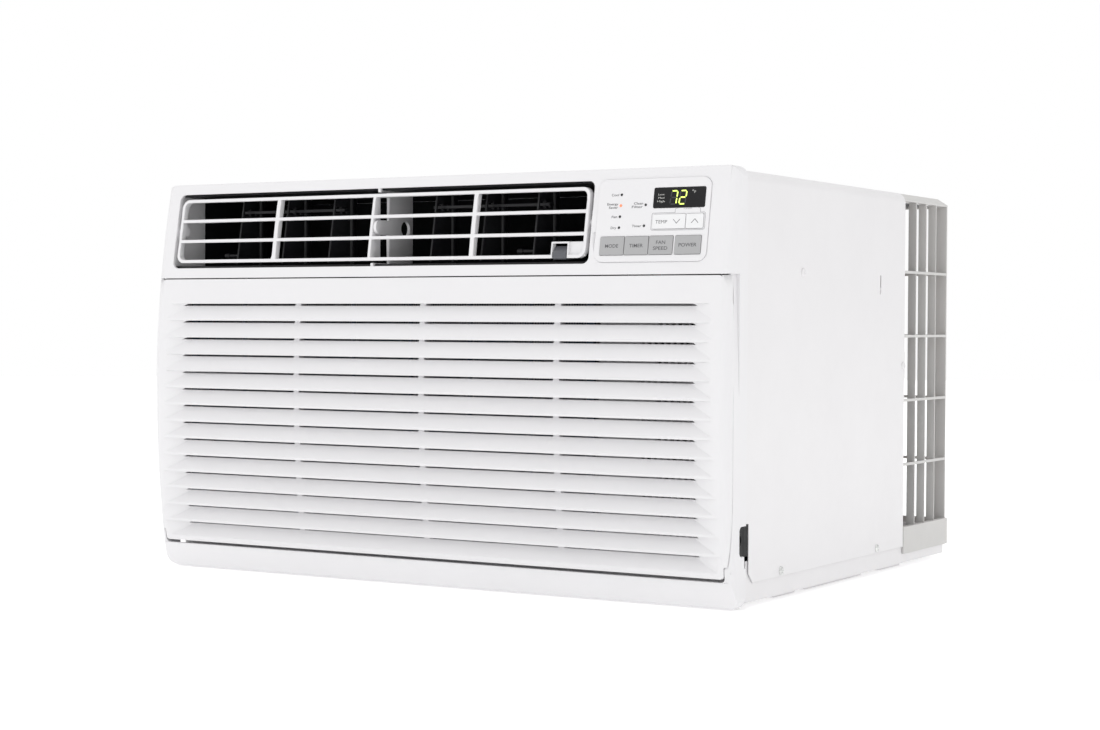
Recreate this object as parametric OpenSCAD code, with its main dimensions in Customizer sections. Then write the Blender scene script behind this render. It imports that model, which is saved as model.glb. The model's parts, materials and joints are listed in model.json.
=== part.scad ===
// Through-the-wall / window room air conditioner, built as separate pieces.
// Millimetres. +X to the viewer's right, -Y out of the front, +Z up.
// The origin is under the middle of the cabinet, on the surface that the feet stand on.

/* [Cabinet] */
// Overall width, across the front panel
unit_w = 610; // [600:1:640]
// Overall height, feet to the top of the front panel
unit_h = 367; // [362:1:375]
// Overall depth, front of the panel to the rear guard
unit_d = 514; // [505:1:530]
// Depth of the sheet steel cabinet wrapper
cabinet_d = 356; // [350:1:360]
// How far the middle of the front panel stands ahead of the cabinet
panel_bow = 37; // [35:1:39]
// Radius of the bowed front face, seen from the side
bow_r = 902; // [880:1:930]
// Thickness of the cabinet's sheet steel
sheet_t = 1; // [0.8:0.1:1.2]
// Wall of the moulded front panel
panel_t = 2.5; // [2.2:0.1:2.8]

/* [Inlet grille] */
// Number of inlet slots, one above the other
slot_count = 14; // [10:1:14]
// Distance from one slot to the next
slot_pitch = 15.95; // [15.5:0.05:16]
// Height of the open gap under each slat
slot_gap = 1.8; // [1.2:0.1:3]
// How far the top of each slat is set back
slat_set_back = 8; // [6:0.5:9]

/* [Discharge louvre] */
// Distance from one vertical vane to the next
vane_pitch = 53.5; // [50:0.5:54]
// Chord of a vertical vane behind its pivot
vane_tail = 8; // [6:1:10]
// Arm from a vane's pivot to its link pin
link_arm = 16; // [15:1:17]

/* [Fan] */
// Outer radius of the room-side blower wheel
wheel_r = 88; // [80:1:90]
// Outer radius of the condenser fan's slinger ring
fan_r = 140; // [130:1:141]
// Radius of the motor shaft
shaft_r = 5; // [4:0.5:6]
// Number of blades in the blower wheel
wheel_blades = 36; // [24:1:44]

/* [Coils] */
// Outside radius of the coil tubes
coil_tube_r = 4.8; // [4:0.1:5]
// Half length of the condenser's fin pack
condenser_half = 222; // [210:1:224]

/* [Controls] */
// Gap round a key
key_gap = 0.3; // [0.25:0.05:0.4]

/* [Hidden] */
$fn = 48;

half_w = unit_w / 2;
front_y = -unit_d / 2;
seam_y = front_y + panel_bow;
cabinet_back = seam_y + cabinet_d;
rear_y = unit_d / 2;
bow_z = 170;
edge_r = 8;
cabinet_x = half_w - 2;
cabinet_top = unit_h - 2.5;
cabinet_low = 21;

// discharge opening in the front panel
open_x = [-287, 170];
open_z = [287, 357.5];
mullion_x = [-56.5, -53.5];
pivot_z = 322.3;
pivot_y = front_y + 19.8;
vane_y = seam_y + 20;
vane_low = 291;
vane_top = 354;
vane_x0 = -56.5;

// inlet opening and grille
inlet_z = [24.8, 277.5];
grille_z = [27.5, 276.5];
grille_x = 297.5;
grille_depth = 15;
// the grille's side edges reach round the front's corners, back to this depth
wing_y = front_y + 10.7;
wing_low = 38;
finger_depth = 3.2;
slot_top_z = 253.3;
slat_h = 13.5;
hinge_z = 33;
hinge_y = face_y(hinge_z) + 5;

// control area, a flat plate that leans back with the face
ctl_z = 323;
ctl_tilt = asin((ctl_z - bow_z) / bow_r);
ctl_y = face_y(ctl_z) + 0.2;

// air path
fan_x = -57;
fan_z = 165;
duct_x = [-289.8, 172.8];
duct_z = [289, 356];
duct_back = -72;
bulkhead_y = [-72, -68];
scroll_y = [-155, -72];
lever_x = 141;
lever_z = 299.5;
vent_hinge_y = -75.2;
vent_hinge_z = 313;

// coils
evap_x = [-270, 158];
evap_y = [-203, -160];
evap_z = [42, 276];
evap_rows = [-192, -171];
evap_pitch = 26;
evap_tubes = 9;
cond_y = [174, 234];
cond_z = [14, 350];
cond_rows = [189, 219];
cond_pitch = 28;
cond_tubes = 12;

comp_x = 205;
comp_y = 12;
comp_r = 62;
pan_floor = 5;
// height at which sheet metal stands on the pan's floor
on_floor = pan_floor + 1.4;

// y of the bowed front face at height z
function face_y(z) = front_y + bow_r - sqrt(bow_r * bow_r - (z - bow_z) * (z - bow_z));

// ---------- shared shapes ----------

module box(x, y, z) {
    translate([x[0], y[0], z[0]]) cube([x[1] - x[0], y[1] - y[0], z[1] - z[0]]);
}

// a shape drawn in x and z, run along y
module slab_y(y) {
    translate([0, y[1], 0]) rotate([90, 0, 0]) linear_extrude(y[1] - y[0]) children();
}

// a shape drawn in y and z, run along x
module slab_x(x) {
    translate([x[0], 0, 0]) rotate([90, 0, 90]) linear_extrude(x[1] - x[0]) children();
}

module rrect(x, z, r) {
    translate([x[0] + r, z[0]]) square([x[1] - x[0] - 2 * r, z[1] - z[0]]);
    translate([x[0], z[0] + r]) square([x[1] - x[0], z[1] - z[0] - 2 * r]);
    for (cx = [x[0] + r, x[1] - r]) for (cz = [z[0] + r, z[1] - r])
        translate([cx, cz]) circle(r, $fn = 32);
}

module rod_x(x, y, z, r) {
    translate([x[0], y, z]) rotate([0, 90, 0]) cylinder(r = r, h = x[1] - x[0]);
}

module rod_y(x, y, z, r) {
    translate([x, y[0], z]) rotate([-90, 0, 0]) cylinder(r = r, h = y[1] - y[0]);
}

module rod_z(x, y, z, r) {
    translate([x, y, z[0]]) cylinder(r = r, h = z[1] - z[0]);
}

function unit(v) = v / norm(v);

// the points of a bend at b, on the way from a to c, that starts at most d before the corner
function bend(a, b, c, d) = let (
    from = b + min(d, 0.45 * norm(a - b)) * unit(a - b),
    to = b + min(d, 0.45 * norm(c - b)) * unit(c - b)
) [for (t = [0 : 0.2 : 1]) (1 - t) * (1 - t) * from + 2 * t * (1 - t) * b + t * t * to];

function rounded_route(p, d) = concat(
    [p[0]],
    [for (i = [1 : len(p) - 2]) each bend(p[i - 1], p[i], p[i + 1], d)],
    [p[len(p) - 1]]
);

// a tube swept along a route with rounded corners
module pipe(points, r, d = 14, sides = 10) {
    path = rounded_route(points, d);
    last = len(path) - 1;
    side_of = unit([0.31, 0.47, 0.83]);
    rings = [for (i = [0 : last]) let (
        t = unit(path[min(i + 1, last)] - path[max(i - 1, 0)]),
        u = unit(cross(t, side_of)),
        v = cross(u, t)
    ) for (k = [0 : sides - 1]) path[i] + r * (cos(k * 360 / sides) * u + sin(k * 360 / sides) * v)];
    walls = [for (i = [0 : last - 1]) for (k = [0 : sides - 1]) let (n = (k + 1) % sides)
        each [
            [i * sides + k, (i + 1) * sides + n, (i + 1) * sides + k],
            [i * sides + k, i * sides + n, (i + 1) * sides + n]
        ]];
    caps = [
        [for (k = [sides - 1 : -1 : 0]) k],
        [for (k = [0 : sides - 1]) last * sides + k]
    ];
    polyhedron(points = rings, faces = concat(walls, caps));
}

// everything behind the bowed face, with its soft side edges, set in by inset
module face_body(inset) {
    side = half_w - inset;
    edge = max(edge_r - inset, 1);
    r = bow_r - inset;
    translate([0, front_y + bow_r, bow_z]) rotate([0, 90, 0]) rotate_extrude($fn = 240) {
        translate([0, -side]) square([r - edge, 2 * side]);
        translate([0, edge - side]) square([r, 2 * (side - edge)]);
        for (s = [-1, 1]) translate([r - edge, s * (side - edge)]) circle(edge, $fn = 48);
    }
}

// the layer of the face from one depth to another
module face_layer(from, to) {
    difference() {
        face_body(from);
        face_body(to);
    }
}

// a layer of the face as before, which doesn't wrap round the sides
module face_sheet(from, to) {
    difference() {
        face_body(from);
        rod_x([-half_w - 1, half_w + 1], front_y + bow_r, bow_z, bow_r - to, $fn = 240);
    }
}

// moves flat control parts onto the leaning control plane; x across, y in, z up the slope
module on_controls() {
    translate([0, ctl_y, ctl_z]) rotate([-ctl_tilt, 0, 0]) children();
}

// ---------- case ----------

module foot_profile(y) {
    polygon([[y[0], pan_floor + 2], [y[0] + 8, 0], [y[1] - 8, 0], [y[1], pan_floor + 2]]);
}

module foot(y, inset) {
    for (s = [-1, 1]) {
        x = s > 0 ? [215 + inset, 290 - inset] : [-290 + inset, -215 - inset];
        translate([0, 0, inset]) slab_x(x) foot_profile([y[0] + inset, y[1] - inset]);
    }
}

drain_x = -190;
drain_y = 215;

module base_pan() {
    feet = [[-140, -82], [-74, 70], [100, 168]];
    boss_x = comp_x + mount_r * cos(mount_angles[0]);
    boss_y = comp_y + mount_r * sin(mount_angles[0]);
    color("whitesmoke") difference() {
        union() {
            difference() {
                union() {
                    box([-301.5, 301.5], [seam_y + 6, 250], [pan_floor, 40]);
                    for (f = feet) foot(f, 0);
                    rod_z(drain_x, drain_y, [1.5, pan_floor + 1.5], 9.5);
                }
                box([-300.3, 300.3], [seam_y + 7.2, 248.8], [pan_floor + 1.2, 41]);
                for (f = feet) foot(f, 1.2);
            }
            // raised seat for the compressor mount that stands over a foot
            rod_z(boss_x, boss_y, [0.8, pan_floor + 1.2], 11);
        }
        rod_z(drain_x, drain_y, [0, 10], 8);
        for (s = [-1, 1]) for (y = low_screw_y) rod_x([s * 301 - 3, s * 301 + 3], y, low_screw_z, 2.1);
        box([-310, 310], [130, 260], [34, 50]);
    }
}

low_screw_y = [seam_y + 73, seam_y + 289];
low_screw_z = 25.6;
high_screw_y = seam_y + 115;
high_screw_z = 282;
guard_screw_y = cabinet_back - 4;
guard_screw_z = 197;

module cabinet_outline(inset) {
    difference() {
        rrect([-cabinet_x + inset, cabinet_x - inset], [-40, cabinet_top - inset], 10 - inset);
        translate([-400, -50]) square([800, 50 + cabinet_low]);
    }
}

module cabinet_wrapper() {
    color("whitesmoke") difference() {
        slab_y([seam_y + 0.4, cabinet_back]) cabinet_outline(0);
        slab_y([seam_y - 1, cabinet_back + 1]) cabinet_outline(sheet_t);
        for (s = [-1, 1]) {
            for (y = low_screw_y) rod_x([s * cabinet_x - 3, s * cabinet_x + 3], y, low_screw_z, 2.1);
            rod_x([s * cabinet_x - 3, s * cabinet_x + 3], high_screw_y, high_screw_z, 2.1);
            rod_x([s * cabinet_x - 3, s * cabinet_x + 3], guard_screw_y, guard_screw_z, 2.1);
            // lanced hook slot
            box([s * cabinet_x - 3, s * cabinet_x + 3], [seam_y + 293, seam_y + 295.5], [266, 283]);
            // lower front corner, cut back further on the cord's side
            cut = s > 0 ? 9 : 3.5;
            box([s * cabinet_x - 3, s * cabinet_x + 3], [seam_y - 1, seam_y + cut], [0, 71]);
            translate([0, seam_y + cut, cabinet_low]) rotate([45, 0, 0])
                box([s * cabinet_x - 3, s * cabinet_x + 3], [-6, 6], [-6, 6]);
        }
    }
}

module rear_top_cover() {
    color("silver") {
        box([-286, 286], [cabinet_back + 0.6, 252], [361.5, 362.7]);
        box([-286, 286], [250.8, 252], [356.5, 361.5]);
    }
}

guard_blades = [cabinet_back + 35, cabinet_back + 62, cabinet_back + 89];
guard_bars = [100.5, 163, 225.5, 288];
guard_out = half_w - 4;

// the right-hand guard; the left one is its mirror image
module side_guard() {
    // top cap, with its rear corner cut away
    difference() {
        slab_x([guard_out - 12, guard_out]) polygon([
            [cabinet_back + 0.6, 356.5], [rear_y, 356.5], [rear_y, 358], [rear_y - 13, 364],
            [cabinet_back + 0.6, 364]
        ]);
        translate([guard_out, 0, 364]) rotate([0, 45, 0]) box([-4, 4], [0, 300], [-4, 4]);
    }
    box([226, guard_out - 12], [rear_y - 3, rear_y], [355, 359.5]);
    // vertical blades and the wider blade at the corner
    for (y = guard_blades) box([guard_out - 8, guard_out], [y - 0.8, y + 0.8], [38, 357]);
    box([guard_out - 12, guard_out], [rear_y - 2, rear_y], [38, 357]);
    // post beside the coil
    box([224, 229], [rear_y - 3, rear_y], [14, 359.5]);
    // horizontal bars along the side and across the rear
    for (z = guard_bars) {
        box([guard_out - 2.4, guard_out], [cabinet_back + 0.6, rear_y], [z - 1.3, z + 1.3]);
        box([228, guard_out], [rear_y - 2.4, rear_y], [z - 1.3, z + 1.3]);
    }
    // skirt, outside the base pan
    box([guard_out + 0.8, guard_out + 2.4], [cabinet_back + 0.6, rear_y], [14, 40]);
    box([guard_out - 3, guard_out + 2.4], [cabinet_back + 0.6, rear_y], [38, 40]);
    box([228, guard_out + 2.4], [rear_y - 2.4, rear_y], [14, 40]);
}

module side_guard_right() {
    color("darkgray") difference() {
        union() {
            side_guard();
            // tongue that slides behind the cabinet's rear edge and takes its screw
            box([guard_out - 1.4, guard_out + 0.6], [cabinet_back - 10, cabinet_back + 4], [185, 210]);
            box([guard_out - 2.4, guard_out], [cabinet_back + 0.6, cabinet_back + 4], [160, 228]);
        }
        rod_x([guard_out - 5, guard_out + 3], guard_screw_y, guard_screw_z, 2.1);
    }
}

module side_guard_left() {
    mirror([1, 0, 0]) side_guard_right();
}

// pan-head screw, driven along -x from a face at x
module screw_x(x, y, z, s) {
    rod_x(s > 0 ? [x + 0.02, x + 2] : [-x - 2, -x - 0.02], y, z, 3.8);
    rod_x(s > 0 ? [x - 7, x + 0.5] : [-x - 0.5, -x + 7], y, z, 2);
}

module case_screws() {
    color("silver") difference() {
        for (s = [-1, 1]) {
            for (y = low_screw_y) screw_x(cabinet_x, y, low_screw_z, s);
            screw_x(cabinet_x, high_screw_y, high_screw_z, s);
            screw_x(cabinet_x, guard_screw_y, guard_screw_z, s);
        }
        // cross recesses
        for (s = [-1, 1]) for (p = [
            [low_screw_y[0], low_screw_z], [low_screw_y[1], low_screw_z],
            [high_screw_y, high_screw_z], [guard_screw_y, guard_screw_z]
        ]) {
            x = s > 0 ? [cabinet_x + 1.2, cabinet_x + 3] : [-cabinet_x - 3, -cabinet_x - 1.2];
            box(x, [p[0] - 0.5, p[0] + 0.5], [p[1] - 2.2, p[1] + 2.2]);
            box(x, [p[0] - 2.2, p[0] + 2.2], [p[1] - 0.5, p[1] + 0.5]);
        }
    }
}

// ---------- front ----------

lip_z = 24.5;
lip_foot_y = seam_y - 14;

// the space in front of the sloping bottom lip
module lip_cut(shift) {
    top_y = face_y(lip_z) + 1.2;
    translate([0, shift, 0]) slab_x([-400, 400]) polygon([
        [front_y - 20, -5], [lip_foot_y + 4, -5], [lip_foot_y + 4, 1], [lip_foot_y, 4],
        [top_y, lip_z + shift], [front_y - 20, lip_z + shift]
    ]);
}

module panel_shell() {
    difference() {
        intersection() {
            slab_y([front_y - 1, seam_y]) rrect([-half_w, half_w], [1, unit_h], 10);
            face_body(0);
        }
        difference() {
            intersection() {
                slab_y([front_y - 1, seam_y + 1])
                    rrect([-half_w + panel_t, half_w - panel_t], [1 + panel_t, unit_h - panel_t], 7.5);
                face_body(panel_t);
            }
            lip_cut(panel_t);
        }
        lip_cut(0);
        // discharge opening
        slab_y([front_y - 5, seam_y + 5]) rrect(open_x, open_z, 6);
        // inlet opening
        slab_y([front_y - 5, seam_y + 5]) rrect([-grille_x - 0.6, grille_x + 0.6], inlet_z, 4);
        // seat of the control fascia
        slab_y([front_y - 5, seam_y + 5]) rrect([178, 278], [291, 355], 4);
    }
}

// the space of the grille's side edges; its foot slopes, so that it swings clear
module grille_wings(gap, top) {
    back = wing_y + gap;
    low = wing_low - 2 * gap;
    near = front_y - 5;
    for (x = [[-half_w - gap, -grille_x + 1 + gap], [grille_x - 1 - gap, half_w + gap]])
        slab_x(x) polygon([[near, top], [back, top], [back, low], [near, low - back + near]]);
}

// upright between the two halves of the discharge opening, with the tab that carries the louvre
module mullion() {
    slab_x(mullion_x) {
        difference() {
            translate([seam_y - 3, duct_z[0] + 0.3]) square([38, duct_z[1] - duct_z[0] - 0.6]);
            translate([vane_y + 3, pivot_z]) circle(7);
        }
        translate([pivot_y, pivot_z - 6.6]) square([seam_y - pivot_y, 13.2]);
        translate([pivot_y, pivot_z]) circle(6.6);
        // arms that reach forward to the bezel above and below the louvre
        polygon([
            [face_y(356) + 1, 353.9], [seam_y, 353.9], [seam_y, 355.7], [face_y(356) + 4, 355.7],
            [face_y(356) + 4, 359.5], [face_y(356) + 1, 359.5]
        ]);
        polygon([
            [face_y(289) + 1, 290], [seam_y, 290], [seam_y, 289.1], [face_y(289) + 4, 289.1],
            [face_y(289) + 4, 285], [face_y(289) + 1, 285]
        ]);
    }
    rod_x([mullion_x[0] - 4, mullion_x[0]], pivot_y, pivot_z, 2.5);
}

module front_panel() {
    color("white") difference() {
        union() {
            panel_shell();
            mullion();
            intersection() {
                union() {
                    // cheeks at the two ends of the discharge opening
                    for (x = [open_x[0] - 2.5, open_x[1]])
                        box([x, x + 2.5], [front_y, seam_y + 18], [duct_z[0] + 0.2, duct_z[1] - 0.2]);
                    // shelf between the discharge and the inlet
                    box([-half_w + 2, half_w - 2], [front_y, seam_y - 2], [279.5, 282]);
                    // wall beside the controls
                    box([175.4, 177], [front_y, seam_y - 2], [281, 365]);
                    // thicker wall behind the finger recess
                    box([299.5, half_w - 1], [wing_y, wing_y + 14], [160, 280]);
                    // bosses that the grille's hinge pins turn in
                    for (s = [-1, 1]) box(
                        s > 0 ? [grille_x + 1, half_w - 2] : [-half_w + 2, -grille_x - 1],
                        [hinge_y - 4.5, hinge_y + 9], [hinge_z - 6, hinge_z + 6]
                    );
                }
                face_body(1);
            }
        }
        grille_wings(0.5, inlet_z[1]);
        // finger recess in the right side, behind the upper part of the grille's edge
        slab_y([wing_y - 2, wing_y + 11]) polygon([
            [half_w + 1, inlet_z[1]], [half_w - finger_depth, inlet_z[1]], [half_w + 0.2, 168]
        ]);
        // pocket that the fascia's rim sits in
        on_controls() fascia_slab([-3, 1.3]) rrect([174.8, 281.2], [-35.7, 35.7], 8.2);
        for (s = [-1, 1]) rod_x([s * 300 - 2.7, s * 300 + 2.7], hinge_y, hinge_z, 2.55);
        rod_x([open_x[0] - 4, open_x[0] + 1], pivot_y, pivot_z, 2.85);
        rod_x([open_x[1] - 1, open_x[1] + 4], pivot_y, pivot_z, 2.85);
        // cord outlet in the right side wall, with the slot below it
        slab_x([half_w - 6, half_w + 1]) rrect([seam_y - 13, seam_y + 8], [45, 70], 4);
        box([half_w - 6, half_w + 1], [seam_y - 3.2, seam_y + 1], [35, 50]);
    }
}

slat_tops = [for (i = [0 : slot_count - 1]) slot_top_z - i * slot_pitch];

// y of a slat's leaning front at height z, for the slat whose slot is at top
function slat_y(top, z) = face_y(top - slat_h) + slat_set_back * (z - top + slat_h) / slat_h;

// half width over which the recesses keep their full depth
recess_x = 264;

// the scooped recess in front of one slat, which runs out at its two ends
module slat_recess(top) {
    near = front_y - 2;
    far = slat_y(top, top);
    low = top - slat_h - (slat_y(top, top - slat_h) - near) * slat_h / slat_set_back;
    wide = recess_x + 26 * (far - near) / slat_set_back;
    intersection() {
        slab_x([-wide, wide]) polygon([[near, low], [far, top], [near, top]]);
        translate([0, 0, low]) linear_extrude(top - low)
            polygon([[-wide, near], [wide, near], [recess_x, far], [-recess_x, far]]);
    }
}

module slat_back(x, top, open) {
    low = top - slat_h;
    edge = top - slot_gap;
    skin = 2.3;
    cut = open ? [[slat_y(top, edge) - 1.5, edge], [slat_y(top, top) - 1.5, top]] : [];
    roof = open ? top : top - 1;
    slab_x(x) polygon(concat(
        [[slat_y(top, low) + skin + 0.6, low], [slat_y(top, edge) + skin, edge]],
        cut,
        open ? [] : [[slat_y(top, roof) + skin, roof]],
        [[seam_y, roof], [seam_y, low]]
    ));
}

module inlet_grille() {
    bays = [[-275, -142], [-136, -3], [3, 136], [142, 275]];
    color("white") {
        difference() {
            union() {
                intersection() {
                    slab_y([front_y - 1, seam_y]) rrect([-grille_x, grille_x], grille_z, 4);
                    face_sheet(0, grille_depth);
                }
                intersection() {
                    grille_wings(0, grille_z[1]);
                    face_body(0);
                }
            }
            for (top = slat_tops) {
                slat_recess(top);
                for (bay = bays) slat_back(bay, top, true);
                slat_back([-292, -277], top, false);
                slat_back([277, 290], top, false);
            }
            // hollow behind the plain band at the top
            intersection() {
                box([-292, 289], [front_y, seam_y], [slot_top_z + 4, 273.5]);
                face_body(panel_t);
            }
            // step in the lower right corner that swings clear of the cord's bush
            box([286.5, grille_x + 1], [hinge_y + 6, seam_y], [20, 81]);
        }
        for (s = [-1, 1]) rod_x([s * 299 - 2.6, s * 299 + 2.6], hinge_y, hinge_z, 2.5);
        // clips that hold the air filter
        for (x = [-200, -57, 90]) {
            box([x - 6, x + 6], [face_y(260) + grille_depth - 3, -226], [272.5, 275]);
            box([x - 6, x + 6], [face_y(30) + grille_depth - 3, -226], [29.5, 32]);
        }
    }
}

module air_filter() {
    x = [-280, 165];
    z = [33, 271.5];
    y = [-229.8, -226.6];
    mid = (y[0] + y[1]) / 2;
    color("steelblue") {
        difference() {
            slab_y(y) rrect(x, z, 4);
            slab_y([y[0] - 1, y[1] + 1]) rrect([x[0] + 7, x[1] - 7], [z[0] + 7, z[1] - 7], 2);
        }
        for (i = [1 : 6]) {
            bar_x = x[0] + i * (x[1] - x[0]) / 7;
            box([bar_x - 1.2, bar_x + 1.2], y, [z[0] + 6, z[1] - 6]);
        }
        for (i = [1 : 3]) {
            bar_z = z[0] + i * (z[1] - z[0]) / 4;
            box([x[0] + 6, x[1] - 6], y, [bar_z - 1.2, bar_z + 1.2]);
        }
        box([x[0] + 6, x[1] - 6], [mid - 0.3, mid + 0.3], [z[0] + 6, z[1] - 6]);
    }
}

frame_x = [-283, 166.5];
frame_z = [292, 352.6];
frame_bars = [312.7, 331.9];
frame_ribs = [-168.5, -60, 49.5];
frame_depth = 6;
notch_x = [133.8, 148.2];
notch_z = 304.6;

module frame_outline(inset) {
    rrect([frame_x[0] + inset, frame_x[1] - inset], [frame_z[0] + inset, frame_z[1] - inset], 8 - inset);
}

// the square notch in the lower edge, over the vent knob
module notch_outline(grow) {
    translate([notch_x[0] - grow, frame_z[0] - 5])
        square([notch_x[1] - notch_x[0] + 2 * grow, notch_z - frame_z[0] + 5 + grow]);
}

module louver_frame() {
    rib2 = frame_ribs[1];
    color("white") difference() {
        union() {
            intersection() {
                slab_y([front_y - 1, seam_y]) difference() {
                    union() {
                        difference() {
                            frame_outline(0);
                            frame_outline(3);
                        }
                        intersection() {
                            frame_outline(0);
                            notch_outline(1.6);
                        }
                        intersection() {
                            frame_outline(1);
                            union() {
                                for (z = frame_bars) translate([-300, z - 1.5]) square([600, 3]);
                                for (x = [frame_ribs[0], frame_ribs[2]])
                                    translate([x - 0.7, 280]) square([4.4, 90]);
                                translate([rib2, 280]) square([3, 90]);
                            }
                        }
                    }
                    notch_outline(0);
                }
                face_layer(0, frame_depth);
            }
            // plate that fills the corner beyond the notch
            intersection() {
                box([notch_x[1] + 0.8, frame_x[1] - 1.5], [front_y, seam_y],
                    [frame_z[0] + 1.5, notch_z + 1.6]);
                face_layer(2.6, 4.8);
            }
            // the middle rib is deeper, to take the mullion's pivot pin
            intersection() {
                box([rib2, rib2 + 3], [front_y, front_y + 25], [frame_z[0] + 1, frame_z[1] - 1]);
                face_body(0.5);
            }
            // ears and pins at the two ends
            rod_x([frame_x[0], frame_x[0] + 3], pivot_y, pivot_z, 5);
            rod_x([open_x[0] - 2.2, frame_x[0] + 1], pivot_y, pivot_z, 2.8);
            rod_x([frame_x[1] - 3, frame_x[1]], pivot_y, pivot_z, 5);
            rod_x([frame_x[1] - 1, open_x[1] + 2.2], pivot_y, pivot_z, 2.8);
        }
        rod_x([rib2 - 1, rib2 + 4], pivot_y, pivot_z, 2.55);
    }
}

// vertical vane that turns on pins in the duct's roof and floor; one on each side has a finger tab
module vane(x, tab) {
    color("dimgray") difference() {
        union() {
            slab_x([x - 0.8, x + 0.8]) difference() {
                polygon([
                    [vane_y - 35.8, vane_low], [vane_y + vane_tail, vane_low],
                    [vane_y + vane_tail, vane_top], [vane_y - 24.6, vane_top]
                ]);
                // window that the link bar passes through
                translate([vane_y - 25, 337.4]) square([17.2, 5.2]);
            }
            rod_z(x, vane_y, [vane_low, vane_top], 3);
            rod_z(x, vane_y, [287, vane_low], 2);
            rod_z(x, vane_y, [vane_top, 358], 2);
            rod_z(x, vane_y - link_arm, [336, 344], 1.5);
            if (tab) {
                rod_x([x - 16, x], vane_y - 27, 299, 1.6);
                rod_x([x - 20, x - 15], vane_y - 27, 299, 2.4);
            }
        }
    }
}

vanes_left = [for (i = [0 : 2]) vane_x0 - 56.5 - (2 - i) * vane_pitch];
vanes_right = [for (i = [0 : 2]) vane_x0 + 56.5 + i * vane_pitch];

module vane_left_1() { vane(vanes_left[0], true); }
module vane_left_2() { vane(vanes_left[1], false); }
module vane_left_3() { vane(vanes_left[2], false); }
module vane_right_1() { vane(vanes_right[0], false); }
module vane_right_2() { vane(vanes_right[1], false); }
module vane_right_3() { vane(vanes_right[2], true); }

// bar with an open notch for each vane's link pin
module vane_link(xs) {
    pin_y = vane_y - link_arm;
    color("dimgray") difference() {
        box([xs[0] - 7, xs[2] + 7], [pin_y - 4, pin_y + 4], [338.8, 341.2]);
        for (x = xs) {
            box([x - 2.3, x + 2.3], [pin_y - 0.2, pin_y + 5], [338, 342]);
            rod_z(x, pin_y - 0.2, [338, 342], 2.3);
        }
    }
}

module vane_link_left() { vane_link(vanes_left); }
module vane_link_right() { vane_link(vanes_right); }

module discharge_duct() {
    t = 2.5;
    color("black") difference() {
        intersection() {
            box([duct_x[0] - t, duct_x[1] + t], [front_y, duct_back], [duct_z[0] - t, duct_z[1] + t]);
            face_body(5);
        }
        box(duct_x, [front_y - 1, duct_back + 1], duct_z);
        // the blower's outlet comes up through the floor
        box([duct_x[0] + 6, duct_x[1] - 6], [scroll_y[0] + 1, duct_back + 1], [280, 300]);
        for (x = concat(vanes_left, vanes_right)) rod_z(x, vane_y, [280, 362], 2.05);
    }
}

module vent_lever() {
    y0 = face_y(lever_z);
    color("dimgray") {
        // knob with a sloping top, which fills the louvre's notch
        slab_x([lever_x - 6.8, lever_x + 6.8]) polygon([
            [y0 + 16, 291], [y0 + 0.5, 291], [y0 - 1, 292.5], [y0 - 1, 297], [y0 + 5.5, 302.6],
            [y0 + 16, 302.6]
        ]);
        rod_y(lever_x, [y0 + 15, -70], lever_z, 2);
        rod_y(lever_x, [-71.5, -69], lever_z, 3.6);
    }
}

module vent_door() {
    color("dimgray") {
        difference() {
            box([lever_x - 17, lever_x + 17],
                [vent_hinge_y - 0.75, vent_hinge_y + 0.75], [290, vent_hinge_z]);
            box([lever_x - 3, lever_x + 3], [vent_hinge_y - 2, vent_hinge_y + 2], [280, vent_hinge_z - 10]);
        }
        rod_x([lever_x - 21, lever_x + 21], vent_hinge_y, vent_hinge_z, 1.8);
    }
}

// ---------- controls ----------

// [x from, x to, z from, z to] of each key, z measured up the slope from the plane's middle
key_low = -29.6;
key_high = -14;
keys = [
    [180.8, 203.7, key_low, key_high],
    [204.3, 226.7, key_low, key_high],
    [227.3, 249.6, key_low, key_high],
    [251.6, 275.6, key_low, key_high],
    [229, 259.6, -8, 4.3],
    [260.2, 276.2, -8, 4.3]
];
display_at = [228, 276.4, 9.6, 27.2];
led_at = [[197.3, 22], [197.3, 12.7], [197.3, 3.2], [197.3, -6.2], [221, 12.8], [221, -5]];
fascia_t = 2;
board_y = [9.5, 11.1];

module fascia_slab(y) {
    translate([0, y[1], 0]) rotate([90, 0, 0]) linear_extrude(y[1] - y[0]) children();
}

module control_fascia() {
    color("white") on_controls() difference() {
        union() {
            fascia_slab([-0.6, 1.2]) rrect([175, 281], [-35.5, 35.5], 8);
            fascia_slab([0, 3]) rrect([178.4, 277.6], [-31.6, 31.6], 3.6);
            // posts that hold the board behind the keys
            for (p = [[184, 28, 2], [184, -9, 2], [224, -10.2, 1.5], [271, 29.2, 1.2]])
                rod_y(p[0], [2.5, board_y[0]], p[1], p[2]);
        }
        for (k = keys) fascia_slab([-2, 5])
            rrect([k[0] - key_gap, k[1] + key_gap], [k[2] - key_gap, k[3] + key_gap], 1.2);
        fascia_slab([-2, 5]) rrect([display_at[0], display_at[1]], [display_at[2], display_at[3]], 1.5);
        for (p = led_at) rod_y(p[0], [-2, 5], p[1], 1.15);
    }
}

module display_window() {
    d = display_at;
    color("black") on_controls() {
        fascia_slab([-0.75, 2.6]) rrect([d[0] + 0.1, d[1] - 0.1], [d[2] + 0.1, d[3] - 0.1], 1.4);
        fascia_slab([3.1, 9.4]) rrect([d[0] + 2, d[1] - 2], [d[2] + 2, d[3] - 2], 1);
        fascia_slab([2.5, 3.2]) rrect([d[0] + 2, d[1] - 2], [d[2] + 2, d[3] - 2], 1);
    }
}

module indicator_leds() {
    color("black") on_controls() for (p = led_at) rod_y(p[0], [-0.7, 9.4], p[1], 1.05);
}

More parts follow.
